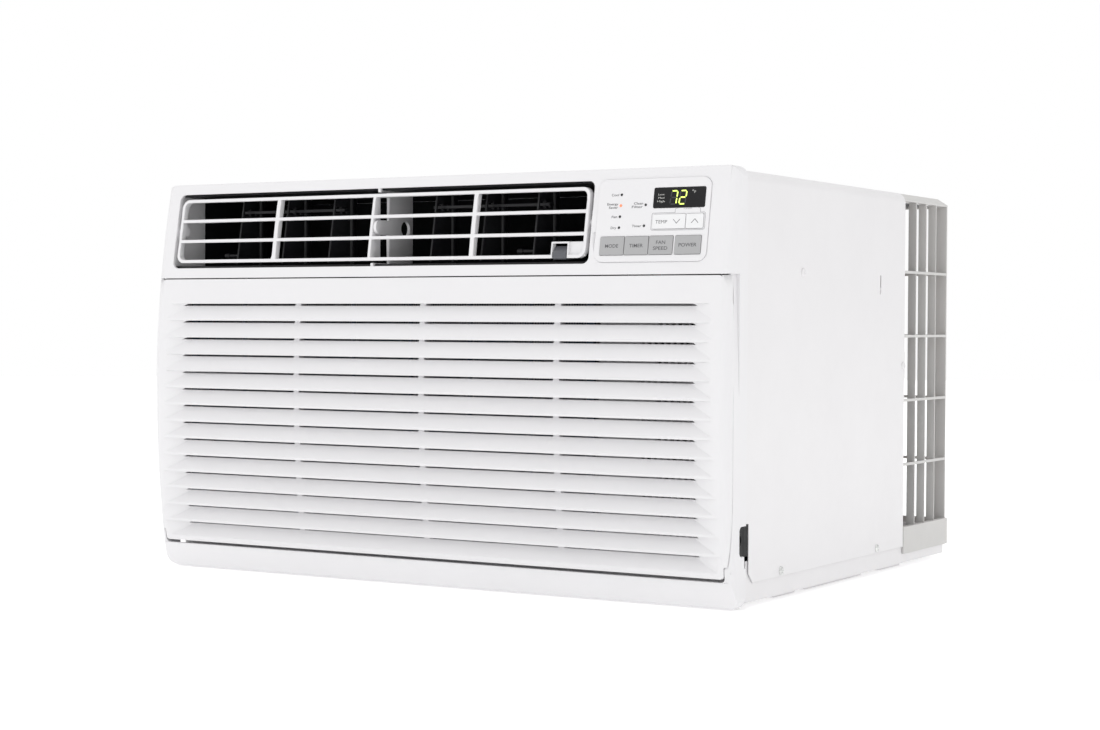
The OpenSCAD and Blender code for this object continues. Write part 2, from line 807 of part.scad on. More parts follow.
// cap, with a flange behind the fascia and a plunger that meets the switch
module key(i) {
    k = keys[i];
    mid = [(k[0] + k[1]) / 2, (k[2] + k[3]) / 2];
    color(i < 4 ? "lightgray" : "white") on_controls() {
        fascia_slab([-1.2, 3.4]) rrect([k[0], k[1]], [k[2], k[3]], 1);
        box([k[0] + 2, k[1] - 2], [3.3, 4.3], [k[2] - 1, k[3] + 1]);
        rod_y(mid[0], [4.2, 7], mid[1], 1.5);
    }
}

module button_mode() { key(0); }
module button_timer() { key(1); }
module button_fan_speed() { key(2); }
module button_power() { key(3); }
module button_temp_down() { key(4); }
module button_temp_up() { key(5); }

module control_board() {
    color("darkgreen") on_controls() {
        box([179, 279], board_y, [-33, 30.5]);
        for (k = keys) {
            mid = [(k[0] + k[1]) / 2, (k[2] + k[3]) / 2];
            box([mid[0] - 3, mid[0] + 3], [8, 9.6], [mid[1] - 3, mid[1] + 3]);
        }
    }
}

box_x = [183, 296];
box_y = [-216, -72.2];
box_z = [44, 270];

module control_box() {
    color("silver") {
        difference() {
            box(box_x, box_y, box_z);
            box([box_x[0] + 1, box_x[1] - 1], [box_y[0] - 1, box_y[1] - 1], [box_z[0] + 1, box_z[1] - 1]);
            // way out for the supply cord, and for the wiring to the fan and compressor
            rod_x([box_x[1] - 2, box_x[1] + 2], cord_y, cord_z, 6);
            rod_y(240, [box_y[1] - 3, box_y[1] + 3], 150, 9);
        }
        // main board on its pillars
        box([200, 201.6], [-200, -100], [80, 240]);
        for (y = [-190, -110]) for (z = [90, 230]) rod_x([box_x[0] + 0.5, 200], y, z, 3);
    }
}

cord_y = -206;
cord_z = 58;

baffle_depth = grille_depth + 1.5;
baffle_x = [176, 286];
baffle_z = [52, 277];

// white baffle close behind the right-hand end of the inlet grille, with rows of small vents,
// standing on a flat plate that closes the front below it
module control_box_cover() {
    t = 1.6;
    back = seam_y + 2.4;
    color("white") {
        difference() {
            intersection() {
                box(baffle_x, [front_y, seam_y], baffle_z);
                face_sheet(baffle_depth, baffle_depth + t);
            }
            for (i = [1 : slot_count - 2]) {
                top = slat_tops[i];
                run = i % 2 == 0 ? [216, 278] : [232, 262];
                for (vx = [run[0] : 6 : run[1]])
                    box([vx, vx + 3.6], [front_y, seam_y - 8], [top - 4.4, top - 0.6]);
            }
        }
        intersection() {
            union() {
                for (x = [baffle_x[0], baffle_x[1] - t]) box([x, x + t], [front_y, back], baffle_z);
                for (z = [baffle_z[0], baffle_z[1] - t]) box(baffle_x, [front_y, back], [z, z + t]);
            }
            face_body(baffle_depth);
        }
        box([baffle_x[0], 295], [seam_y + 0.8, back], [32, baffle_z[0] + t]);
    }
}

module run_capacitor() {
    color("silver") {
        rod_z(245, -150, [46, 150], 22);
        rod_z(245, -150, [45.2, 47], 23);
        for (dx = [-8, 8]) box([245 + dx - 3, 245 + dx + 3], [-150.4, -149.6], [149, 160]);
    }
}

// black clamp and bush behind the cord outlet
module cord_bushing() {
    color("black") difference() {
        union() {
            slab_x([288, 302]) rrect([seam_y - 15, seam_y - 0.4], [43, 72], 4);
            rod_x([296.4, 302], cord_y, cord_z, 9);
            rod_x([291, 302], cord_y, cord_z, 5.9);
            box([297, 302], [seam_y + 0.2, cord_y], [44, 72.5]);
        }
        rod_x([280, 310], cord_y, cord_z, 3.8);
        rod_x([280, 310], seam_y - 7.5, cord_z, 4.2);
    }
}

// ---------- coils ----------

function row_z(low, pitch, i) = low + pitch / 2 + i * pitch;

module fin_pack(x, y, z, rows, pitch, count) {
    difference() {
        box(x, y, z);
        for (r = rows) for (i = [0 : count - 1])
            rod_x([x[0] - 1, x[1] + 1], r, row_z(z[0], pitch, i), coil_tube_r + 0.05);
    }
}

// half-round return bend, brazed into the ends of two tubes; s says which end of the coil
module u_bend(x, y, z, r, s) {
    translate([x, y, z]) rotate([0, 90, 90]) rotate([0, 0, s > 0 ? 180 : 0])
        rotate_extrude(angle = 180, $fn = 32) translate([r, 0]) circle(coil_tube_r - 0.4, $fn = 16);
}

// straight runs joined by half-round bends, so that each row is one run of tube
module coil_tubes(x, z, rows, pitch, count) {
    reach = 2.5;
    for (r = rows) {
        for (i = [0 : count - 1])
            rod_x([x[0] - reach, x[1] + reach], r, row_z(z[0], pitch, i), coil_tube_r);
        for (i = [0 : count - 2]) {
            mid = row_z(z[0], pitch, i) + pitch / 2;
            if (i % 2 == 0) u_bend(x[0] - reach + 0.6, r, mid, pitch / 2, -1);
            else u_bend(x[1] + reach - 0.6, r, mid, pitch / 2, 1);
        }
    }
}

// half-round bend that carries the run from one row of the coil over to the other
module row_bend(x, rows, z, s) {
    translate([x, (rows[0] + rows[1]) / 2, z]) rotate([0, 0, s > 0 ? -90 : 90])
        rotate_extrude(angle = 180, $fn = 32) translate([(rows[1] - rows[0]) / 2, 0])
            circle(coil_tube_r - 0.4, $fn = 16);
}

module end_plates(x, y, z, rows, zf, pitch, count) {
    difference() {
        for (px = [[x[0] - 1.3, x[0] - 0.1], [x[1] + 0.1, x[1] + 1.3]]) box(px, y, z);
        for (r = rows) for (i = [0 : count - 1])
            rod_x([x[0] - 3, x[1] + 3], r, row_z(zf, pitch, i), coil_tube_r + 0.1);
    }
}

module evaporator_fins() {
    color("lightsteelblue") fin_pack(evap_x, evap_y, evap_z, evap_rows, evap_pitch, evap_tubes);
}
module evaporator_tubes() {
    color("peru") {
        coil_tubes(evap_x, evap_z, evap_rows, evap_pitch, evap_tubes);
        row_bend(evap_x[0] - 1.9, evap_rows, row_z(evap_z[0], evap_pitch, evap_tubes - 1), -1);
    }
}
module evaporator_end_plates() {
    color("silver")
        end_plates(evap_x, [-205, -158], [on_floor, 280], evap_rows, evap_z[0], evap_pitch, evap_tubes);
}

cond_x = [-condenser_half, condenser_half];

module condenser_fins() {
    color("lightsteelblue") fin_pack(cond_x, cond_y, cond_z, cond_rows, cond_pitch, cond_tubes);
}
module condenser_tubes() {
    color("peru") {
        coil_tubes(cond_x, cond_z, cond_rows, cond_pitch, cond_tubes);
        row_bend(cond_x[1] + 1.9, cond_rows, row_z(cond_z[0], cond_pitch, 0), 1);
    }
}
module condenser_end_plates() {
    color("silver")
        end_plates(cond_x, [172, 240], [on_floor, 352], cond_rows, cond_z[0], cond_pitch, cond_tubes);
}

// ---------- air handling ----------

module blower_orifice() {
    color("dimgray") difference() {
        union() {
            box([-286, 166], [scroll_y[0] - 2, scroll_y[0]], [on_floor, 286]);
            rod_y(fan_x, [scroll_y[0] - 1, scroll_y[0] + 3], fan_z, 82);
        }
        rod_y(fan_x, [-170, -140], fan_z, 78);
    }
}

function spiral_r(a) = 98 + 48 * (50 - a) / 230;
function spiral(a, extra) = [
    fan_x + (spiral_r(a) + extra) * cos(a),
    fan_z + (spiral_r(a) + extra) * sin(a)
];

// volute round the blower wheel, open at the top into the discharge duct
module blower_scroll() {
    inner = [for (a = [50 : -10 : -180]) spiral(a, 0)];
    outer = [for (a = [-180 : 10 : 30]) spiral(a, 3)];
    inner_top = [[-255, 286.2]];
    outer_top = [[-258.5, 286.2]];
    color("dimgray") {
        slab_y([scroll_y[0] + 0.2, scroll_y[1] - 0.2])
            polygon(concat([[117, 286.2]], inner, inner_top, outer_top, outer, [[125, 286.2]]));
    }
}

module bulkhead() {
    lug_z = [vent_hinge_z - 3.5, vent_hinge_z + 3.5];
    color("gainsboro") difference() {
        union() {
            slab_y(bulkhead_y) rrect([-299, 299], [on_floor, 361], 6);
            // lugs that the vent door's pins turn in
            for (x = [lever_x - 21.2, lever_x + 18.6])
                box([x, x + 2.6], [vent_hinge_y - 3.3, bulkhead_y[0] + 1], lug_z);
        }
        rod_x([lever_x - 25, lever_x + 25], vent_hinge_y, vent_hinge_z, 1.85);
        rod_y(fan_x, [-80, -60], fan_z, 16);
        slab_y([-80, -60]) rrect([lever_x - 13, lever_x + 13], [292, 308], 2);
        rod_y(suction_x, [-80, -60], suction_z, 9);
        rod_y(capillary_x, [-80, -60], capillary_z, 5);
        rod_y(240, [-80, -60], 150, 9);
    }
}

wheel_y = [-149, -84];

module blower_wheel() {
    color("gray") difference() {
        union() {
            rod_y(fan_x, [wheel_y[1] - 2, wheel_y[1]], fan_z, wheel_r);
            rod_y(fan_x, [wheel_y[1] - 22, wheel_y[1] + 4], fan_z, 13);
            difference() {
                rod_y(fan_x, [wheel_y[0], wheel_y[0] + 4], fan_z, wheel_r);
                rod_y(fan_x, [wheel_y[0] - 1, wheel_y[0] + 5], fan_z, wheel_r - 5);
            }
            for (i = [0 : wheel_blades - 1])
                translate([fan_x, 0, fan_z]) rotate([0, i * 360 / wheel_blades, 0])
                    translate([wheel_r - 9, 0, 0]) rotate([0, 35, 0])
                        box([-8, 8], [wheel_y[0] + 1, wheel_y[1] - 1], [-0.5, 0.5]);
        }
        rod_y(fan_x, [-200, 0], fan_z, shaft_r + 0.03);
    }
}

fan_y = [92, 122];

module condenser_fan() {
    color("gray") difference() {
        union() {
            rod_y(fan_x, fan_y, fan_z, 28);
            for (i = [0 : 4]) translate([fan_x, (fan_y[0] + fan_y[1]) / 2, fan_z]) rotate([0, i * 72, 0])
                intersection() {
                    rotate([28, 0, 0]) box([20, fan_r - 2], [-1, 1], [-34, 34]);
                    rod_y(0, [-14, 14], 0, fan_r - 1);
                }
            difference() {
                rod_y(fan_x, [fan_y[0] + 2, fan_y[0] + 16], fan_z, fan_r);
                rod_y(fan_x, [fan_y[0], fan_y[0] + 20], fan_z, fan_r - 2.5);
            }
        }
        rod_y(fan_x, [0, 200], fan_z, shaft_r + 0.03);
    }
}

module motor_shaft() {
    color("silver") rod_y(fan_x, [-112, 133], fan_z, shaft_r);
}

module motor_rotor() {
    color("gray") difference() {
        rod_y(fan_x, [-36, 14], fan_z, 30);
        rod_y(fan_x, [-50, 50], fan_z, shaft_r + 0.02);
    }
}

module shaft_nuts() {
    color("silver") for (y = [[-114, -106.4], [122.4, 130]]) difference() {
        translate([fan_x, y[0], fan_z]) rotate([-90, 0, 0]) cylinder(r = 9, h = y[1] - y[0], $fn = 6);
        rod_y(fan_x, [y[0] - 1, y[1] + 1], fan_z, shaft_r + 0.02);
    }
}

motor_y = [-52, 28];

module motor_shell() {
    color("dimgray") difference() {
        union() {
            rod_y(fan_x, motor_y, fan_z, 56);
            rod_y(fan_x, [motor_y[0] - 8, motor_y[1] + 8], fan_z, 14);
        }
        rod_y(fan_x, [motor_y[0] + 2, motor_y[1] - 2], fan_z, 54);
        rod_y(fan_x, [motor_y[0] - 6.5, motor_y[1] + 6.5], fan_z, 11);
        rod_y(fan_x, [motor_y[0] - 10, motor_y[1] + 10], fan_z, 8);
    }
}

module motor_stator() {
    color("peru") difference() {
        rod_y(fan_x, [-38, 16], fan_z, 53.9);
        rod_y(fan_x, [-40, 20], fan_z, 30.8);
    }
}

module motor_bearings() {
    color("goldenrod") for (y = [[motor_y[0] - 6.3, motor_y[0] + 1.5], [motor_y[1] - 1.5, motor_y[1] + 6.3]])
        difference() {
            rod_y(fan_x, y, fan_z, 10.9);
            rod_y(fan_x, [y[0] - 1, y[1] + 1], fan_z, shaft_r + 0.03);
        }
}

module motor_bracket() {
    color("silver") difference() {
        union() {
            rod_y(fan_x, [-24, 4], fan_z, 59);
            box([fan_x - 45, fan_x + 45], [-24, 4], [9, fan_z]);
            box([fan_x - 70, fan_x + 70], [-40, 20], [6.4, 9]);
        }
        rod_y(fan_x, [-50, 50], fan_z, 56.1);
        box([fan_x - 43, fan_x + 43], [-26, 2], [9, 90]);
        for (x = [fan_x - 60, fan_x + 60]) for (y = [-32, 12]) rod_z(x, y, [0, 20], 2.6);
    }
}

module condenser_shroud() {
    x = [-condenser_half - 3, condenser_half + 3];
    color("gainsboro") difference() {
        union() {
            box([-280, 280], [104, 106], [on_floor, 356]);
            rod_y(fan_x, [90, 106], fan_z, 149);
            difference() {
                box(x, [105, 171], [on_floor, 356]);
                box([x[0] + 1.5, x[1] - 1.5], [100, 180], [on_floor + 1.5, 354.5]);
            }
        }
        rod_y(fan_x, [80, 110], fan_z, 146);
        // ways past the shroud for air and pipes
        box([-290, -condenser_half - 20], [100, 110], [60, 350]);
        box([condenser_half + 20, 290], [100, 110], [60, 350]);
    }
}

// ---------- compressor and pipes ----------

suction_x = 184;
suction_z = 330;
capillary_x = 176;
capillary_z = 40;
mount_angles = [30, 150, 270];
mount_r = 66;

module compressor() {
    color("black") {
        translate([comp_x, comp_y, 0]) rotate_extrude($fn = 64) {
            translate([0, 48]) square([comp_r, 150]);
            intersection() {
                translate([0, 198 - 60]) circle(86.5);
                translate([0, 198]) square([comp_r, 40]);
            }
            intersection() {
                translate([0, 48 + 60]) circle(86.5);
                translate([0, 20]) square([comp_r, 28.1]);
            }
        }
        difference() {
            union() for (a = mount_angles) translate([comp_x, comp_y, 0]) rotate([0, 0, a])
                box([20, 74], [-13, 13], [26, 29]);
            for (a = mount_angles) translate([comp_x, comp_y, 0]) rotate([0, 0, a])
                rod_z(mount_r, 0, [20, 35], 6);
        }
        rod_z(comp_x, comp_y, [222, 236], 5);
        rod_z(comp_x + 30, comp_y - 20, [210, 226], 12);
    }
}

module compressor_grommets() {
    color("black") translate([comp_x, comp_y, 0]) for (a = mount_angles) rotate([0, 0, a]) difference() {
        union() {
            rod_z(mount_r, 0, [6.3, 25.9], 10);
            rod_z(mount_r, 0, [25, 30], 5.8);
            rod_z(mount_r, 0, [29.1, 32], 9);
        }
        rod_z(mount_r, 0, [0, 40], 3.1);
    }
}

module compressor_nuts() {
    color("silver") translate([comp_x, comp_y, 0]) for (a = mount_angles) rotate([0, 0, a]) {
        rod_z(mount_r, 0, [6.3, 40], 3);
        translate([mount_r, 0, 32.1]) cylinder(r = 6, h = 5, $fn = 6);
    }
}

// cold return pipe, with the accumulator beside the compressor
module suction_tube() {
    x = evap_x[1] + 2.6;
    y = evap_rows[1];
    z = row_z(evap_z[0], evap_pitch, 0);
    color("peru") {
        pipe([
            [x, y, z], [x + 12, y, z], [177.5, -148, 70], [177.5, -148, 272], [182, -147, 284],
            [suction_x, -146, 305],
            [suction_x, -138, suction_z], [suction_x, 20, suction_z], [262, 66, suction_z], [280, 68, 250]
        ], 4.7);
        translate([280, 68, 0]) rotate_extrude() polygon([
            [0, 140], [9, 140], [16, 148], [16, 247], [9, 255], [0, 255]
        ]);
        pipe([[280, 68, 145], [280, 68, 75], [comp_x + 52.2, comp_y + 35.8, 75]], 5, 10);
    }
}

// hot pipe from the top of the compressor to the top of the condenser
module discharge_tube() {
    end_z = row_z(cond_z[0], cond_pitch, cond_tubes - 1);
    color("peru") pipe([
        [comp_x, comp_y, 236], [comp_x, comp_y, 282], [235, 60, 290], [252, 85, 300],
        [256, 150, end_z], [252, cond_rows[0], end_z], [condenser_half + 2.6, cond_rows[0], end_z]
    ], 4);
}

// thin metering pipe from the condenser's outlet to the bottom of the evaporator
module capillary_tube() {
    x = condenser_half + 2.6;
    z = row_z(cond_z[0], cond_pitch, cond_tubes - 1);
    evap_low = row_z(evap_z[0], evap_pitch, 0);
    color("peru") pipe([
        [x, cond_rows[1], z], [244, cond_rows[1], 340], [250, 205, 346], [262, 150, 347],
        [272, 20, 344],
        [capillary_x, -58, 344], [capillary_x, -58, capillary_z], [capillary_x, -150, capillary_z],
        [177, -188, 46], [177, evap_rows[0], evap_low], [evap_x[1] + 2.6, evap_rows[0], evap_low]
    ], 2);
}

base_pan();
cabinet_wrapper();
rear_top_cover();
side_guard_left();
side_guard_right();
case_screws();
front_panel();
inlet_grille();
air_filter();
louver_frame();
vane_left_1();
vane_left_2();
vane_left_3();
vane_right_1();
vane_right_2();
vane_right_3();
vane_link_left();
vane_link_right();
discharge_duct();
vent_lever();
vent_door();
control_fascia();
display_window();
indicator_leds();
button_mode();
button_timer();
button_fan_speed();
button_power();
button_temp_down();
button_temp_up();
control_board();
control_box();
control_box_cover();
run_capacitor();
cord_bushing();
evaporator_fins();
evaporator_tubes();
evaporator_end_plates();
blower_orifice();
blower_scroll();
bulkhead();
blower_wheel();
condenser_fan();
motor_shaft();
motor_rotor();
shaft_nuts();
motor_shell();
motor_stator();
motor_bearings();
motor_bracket();
condenser_shroud();
condenser_fins();
condenser_tubes();
condenser_end_plates();
compressor();
compressor_grommets();
compressor_nuts();
suction_tube();
discharge_tube();
capillary_tube();
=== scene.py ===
"""Room air conditioner: materials, fine pieces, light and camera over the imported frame.

Lengths are metres on the CAD's axes. Numbers that MM multiplies are millimetres.
"""
import json
import math
import random

import bmesh
import bpy
from mathutils import Matrix, Vector


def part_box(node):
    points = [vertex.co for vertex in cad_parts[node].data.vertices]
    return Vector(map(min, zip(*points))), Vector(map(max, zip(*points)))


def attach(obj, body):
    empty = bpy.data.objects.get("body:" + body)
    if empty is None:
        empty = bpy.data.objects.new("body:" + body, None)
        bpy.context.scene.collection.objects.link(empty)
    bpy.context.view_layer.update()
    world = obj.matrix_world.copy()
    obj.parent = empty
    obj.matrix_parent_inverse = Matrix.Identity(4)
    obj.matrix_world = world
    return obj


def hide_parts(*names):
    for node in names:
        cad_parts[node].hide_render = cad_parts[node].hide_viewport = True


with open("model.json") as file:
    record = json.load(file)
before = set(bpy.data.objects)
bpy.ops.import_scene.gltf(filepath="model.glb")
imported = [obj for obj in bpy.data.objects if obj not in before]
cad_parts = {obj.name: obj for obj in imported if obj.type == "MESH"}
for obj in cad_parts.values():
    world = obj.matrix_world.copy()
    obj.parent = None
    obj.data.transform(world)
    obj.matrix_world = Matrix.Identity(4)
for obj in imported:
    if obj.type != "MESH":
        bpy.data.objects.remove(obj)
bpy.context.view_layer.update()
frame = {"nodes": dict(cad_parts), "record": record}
nodes = frame["nodes"]
BODY = {n: b for b, ns in frame["record"]["behaviour"]["bodies"].items() for n in ns}
SLOT = {s["node"]: s["material_slot"] for s in frame["record"]["subparts"]}
scene = bpy.context.scene
MM = 0.001
NOISE_ROUGHNESS = 0.55


# ---------- materials ----------

def link(nt, a, b):
    nt.links.new(a, b)


def noise(nt, vector, scale, detail=3.0):
    n = nt.nodes.new("ShaderNodeTexNoise")
    n.inputs["Scale"].default_value = scale
    n.inputs["Detail"].default_value = detail
    n.inputs["Roughness"].default_value = NOISE_ROUGHNESS
    link(nt, vector, n.inputs["Vector"])
    return n


def spread(nt, value, lo, hi, low=0.35, high=0.65):
    """Maps the range low..high of a value onto lo..hi."""
    n = nt.nodes.new("ShaderNodeMapRange")
    n.inputs["From Min"].default_value = low
    n.inputs["From Max"].default_value = high
    n.inputs["To Min"].default_value = lo
    n.inputs["To Max"].default_value = hi
    link(nt, value, n.inputs["Value"])
    return n.outputs["Result"]


def mixed(nt, factor, a, b):
    n = nt.nodes.new("ShaderNodeMix")
    n.data_type = "RGBA"
    n.inputs[6].default_value = (*a, 1)
    n.inputs[7].default_value = (*b, 1)
    link(nt, factor, n.inputs[0])
    return n.outputs[2]


def surface(name, color, rough, metal=0.0, grain=900.0, bump=0.12, depth=3e-5, mottle=0.02,
            patch=16.0, spread_by=0.05, edge=0.0005, stretch=None, other=None, **fixed):
    """A procedural surface: colour patches, roughness patches, a fine grain and softened edges."""
    mat = bpy.data.materials.new(name)
    mat.use_nodes = True
    nt = mat.node_tree
    bsdf = nt.nodes["Principled BSDF"]
    bsdf.inputs["Metallic"].default_value = metal
    for k, v in fixed.items():
        bsdf.inputs[k.replace("_", " ")].default_value = v
    coord = nt.nodes.new("ShaderNodeTexCoord").outputs["Object"]
    if stretch:
        m = nt.nodes.new("ShaderNodeMapping")
        m.inputs["Scale"].default_value = stretch
        link(nt, coord, m.inputs["Vector"])
        fine_at = m.outputs["Vector"]
    else:
        fine_at = coord
    large = noise(nt, coord, patch, 4.0)
    dark = other or tuple(c * (1 - mottle) for c in color)
    light = tuple(min(1.0, c * (1 + mottle)) for c in color)
    link(nt, mixed(nt, spread(nt, large.outputs["Fac"], 0, 1), dark, light),
         bsdf.inputs["Base Color"])
    mid = noise(nt, coord, patch * 5, 3.0)
    link(nt, spread(nt, mid.outputs["Fac"], rough - spread_by, rough + spread_by),
         bsdf.inputs["Roughness"])
    fine = noise(nt, fine_at, grain, 3.0)
    b = nt.nodes.new("ShaderNodeBump")
    b.inputs["Strength"].default_value = bump
    b.inputs["Distance"].default_value = depth
    link(nt, fine.outputs["Fac"], b.inputs["Height"])
    if edge:
        e = nt.nodes.new("ShaderNodeBevel")
        e.samples = 4
        e.inputs["Radius"].default_value = edge
        link(nt, e.outputs["Normal"], b.inputs["Normal"])
    link(nt, b.outputs["Normal"], bsdf.inputs["Normal"])
    return mat


def galvanised(name):
    """Zinc-coated sheet: flat crystals of slightly different grey."""
    mat = surface(name, (0.56, 0.58, 0.59), 0.42, 0.85, grain=500, bump=0.05, edge=0.0004)
    nt = mat.node_tree
    bsdf = nt.nodes["Principled BSDF"]
    coord = [n for n in nt.nodes if n.type == "TEX_COORD"][0].outputs["Object"]
    v = nt.nodes.new("ShaderNodeTexVoronoi")
    v.inputs["Scale"].default_value = 130.0
    link(nt, coord, v.inputs["Vector"])
    hue = nt.nodes.new("ShaderNodeSeparateColor")
    link(nt, v.outputs["Color"], hue.inputs["Color"])
    link(nt, mixed(nt, hue.outputs[0], (0.47, 0.49, 0.51), (0.66, 0.68, 0.69)),
         bsdf.inputs["Base Color"])
    link(nt, spread(nt, hue.outputs[1], 0.32, 0.5, 0, 1), bsdf.inputs["Roughness"])
    return mat


def glowing(name, color, strength):
    mat = surface(name, color, 0.4, edge=0, mottle=0.08, patch=300)
    b = mat.node_tree.nodes["Principled BSDF"]
    b.inputs["Emission Color"].default_value = (*color, 1)
    b.inputs["Emission Strength"].default_value = strength
    return mat


PANEL = (0.772, 0.766, 0.778)
M = {
    "panel": surface("white_moulded_plastic", PANEL, 0.42, grain=1300, bump=0.10, mottle=0.006,
                     edge=0.0007),
    "key_white": surface("white_key_plastic", (0.80, 0.80, 0.808), 0.38, grain=2200, bump=0.06,
                         mottle=0.006, edge=0.0004),
    "cabinet": surface("white_powder_coat", (0.765, 0.755, 0.765), 0.4, grain=620, bump=0.16,
                       depth=4e-5, mottle=0.008, edge=0.0006, Coat_Weight=0.15, Coat_Roughness=0.3),
    "guard": surface("light_grey_guard_plastic", (0.60, 0.592, 0.58), 0.5, grain=1500, bump=0.12,
                     mottle=0.02, edge=0.0005),
    "galvanised": galvanised("galvanised_sheet"),
    "zinc": surface("bright_zinc_screw", (0.72, 0.73, 0.72), 0.28, 1.0, grain=2500, bump=0.1,
                    mottle=0.12, patch=400, edge=0.0002),
    "black": surface("black_duct_plastic", (0.010, 0.010, 0.012), 0.5, grain=1500, bump=0.2,
                     mottle=0.15, edge=0.0006),
    "lever": surface("dark_grey_lever_plastic", (0.10, 0.103, 0.115), 0.4, grain=1600, bump=0.15,
                     mottle=0.06, edge=0.0006),
    "display": surface("gloss_black_window", (0.004, 0.004, 0.005), 0.16, grain=300, bump=0.01,
                       mottle=0.2, spread_by=0.03, edge=0.0003, Specular_IOR_Level=0.28),
    "key_grey": surface("grey_key_plastic", (0.40, 0.40, 0.405), 0.45, grain=2200, bump=0.08,
                        mottle=0.012, edge=0.0004),
    "board": surface("green_circuit_board", (0.015, 0.13, 0.05), 0.35, grain=900, bump=0.3,
                     mottle=0.3, patch=260, other=(0.01, 0.09, 0.035)),
    "motor": surface("painted_motor_metal", (0.30, 0.31, 0.32), 0.45, 0.5, grain=700, bump=0.15,
                     mottle=0.08),
    "rubber": surface("black_rubber", (0.012, 0.012, 0.013), 0.7, grain=900, bump=0.35, mottle=0.2),
    "fins": surface("aluminium_fin", (0.74, 0.76, 0.78), 0.34, 1.0, grain=160, bump=0.3, depth=6e-5,
                    mottle=0.08, patch=60, edge=0, stretch=(1, 1, 6)),
    "copper": surface("drawn_copper", (0.72, 0.34, 0.2), 0.32, 1.0, grain=120, bump=0.15,
                      mottle=0.1, patch=45, spread_by=0.1, edge=0, other=(0.42, 0.2, 0.13)),
    "fan": surface("dark_fan_plastic", (0.045, 0.046, 0.05), 0.45, grain=1200, bump=0.15,
                   mottle=0.1),
    "bronze": surface("sintered_bronze", (0.6, 0.4, 0.18), 0.4, 1.0, grain=2500, bump=0.4,
                      mottle=0.1),
    "compressor": surface("black_compressor_paint", (0.012, 0.012, 0.013), 0.28, grain=420,
                          bump=0.25, depth=6e-5, mottle=0.2, edge=0.001),
    "foam": surface("black_foam", (0.008, 0.008, 0.009), 0.9, grain=1100, bump=0.8, depth=2e-4,
                    mottle=0.3, patch=60, edge=0, Specular_IOR_Level=0.2),
    "filter": surface("blue_filter_plastic", (0.16, 0.22, 0.33), 0.55, grain=1800, bump=0.2,
                      mottle=0.06),
    "ink": surface("grey_print", (0.12, 0.12, 0.125), 0.6, grain=3000, bump=0.05, mottle=0.1,
                   edge=0),
    "ink_light": surface("pale_print", (0.5, 0.5, 0.48), 0.6, grain=3000, bump=0.05,
                         mottle=0.08, edge=0),
    "outline": surface("outline_print", (0.36, 0.36, 0.37), 0.6, grain=3000, bump=0.05,
                       mottle=0.05, edge=0),
    "lamp_off": surface("black_lamp", (0.02, 0.02, 0.022), 0.2, grain=900, bump=0.05,
                        mottle=0.2, edge=0),
    "lamp_on": glowing("lit_red_lamp", (1.0, 0.16, 0.06), 1.6),
    "digits": glowing("lit_digits", (0.72, 0.95, 0.16), 1.5),
    "digits_off": surface("unlit_digits", (0.035, 0.036, 0.04), 0.35, edge=0, mottle=0.1),
}
# material of each finish that the record names
BY_SLOT = {
    "cabinet_paint": "cabinet", "galvanised_steel": "galvanised", "guard_plastic": "guard",
    "zinc_steel": "zinc", "panel_plastic": "panel", "filter_plastic": "filter",
    "duct_plastic": "black", "lever_plastic": "lever", "display_plastic": "display",
    "key_grey": "key_grey", "key_white": "key_white", "circuit_board": "board",
    "motor_metal": "motor", "black_rubber": "rubber", "coil_fins": "fins", "copper": "copper",
    "fan_plastic": "fan", "bronze": "bronze", "compressor_paint": "compressor",
}


def finish_of(node):
    return M[BY_SLOT[SLOT[node]]]


for name, ob in nodes.items():
    ob.data.materials.clear()
    ob.data.materials.append(finish_of(name))


# ---------- pieces ----------

def piece(name, bm, mat, body, sharp=32, instead_of=(), weighted=True):
    """Makes an object of a bmesh that rides on a body; sharp is the crease angle in degrees."""
    me = bpy.data.meshes.new(name)
    bm.to_mesh(me)
    bm.free()
    me.materials.append(mat)
    me.polygons.foreach_set("use_smooth", [True] * len(me.polygons))
    me.set_sharp_from_angle(angle=math.radians(sharp))
    ob = bpy.data.objects.new(name, me)
    scene.collection.objects.link(ob)
    if weighted:
        w = ob.modifiers.new("even_normals", "WEIGHTED_NORMAL")
        w.keep_sharp = True
    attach(ob, body)
    if instead_of:
        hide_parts(*instead_of)
    return ob


SOFTEN_ANGLE = math.radians(30)
SOFTEN_SEGMENTS = 2
# an edge is rounded only where its ends have room for this many widths
SOFTEN_ROOM = 2.2
WELD = 2e-6
FLAT_ANGLE = math.radians(0.4)


def soften(node, width):
    """A copy of a CAD node with its hard edges rounded, shown in its place."""
    bm = bmesh.new()
    bm.from_mesh(nodes[node].data)
    bmesh.ops.remove_doubles(bm, verts=bm.verts[:], dist=WELD)
    bmesh.ops.dissolve_limit(bm, angle_limit=FLAT_ANGLE, verts=bm.verts[:], edges=bm.edges[:])
    bm.normal_update()
    reach = SOFTEN_ROOM * width
    room = {v: min(e.calc_length() for e in v.link_edges) for v in bm.verts if v.link_edges}
    edges = [e for e in bm.edges
             if len(e.link_faces) == 2 and e.calc_face_angle(0) > SOFTEN_ANGLE
             and room[e.verts[0]] > reach and room[e.verts[1]] > reach]
    if edges:
        bmesh.ops.bevel(bm, geom=edges, offset=width, offset_type="OFFSET",
                        segments=SOFTEN_SEGMENTS, profile=0.6, affect="EDGES",
                        clamp_overlap=False)
    return piece(node + "_soft", bm, finish_of(node), BODY[node], instead_of=(node,))


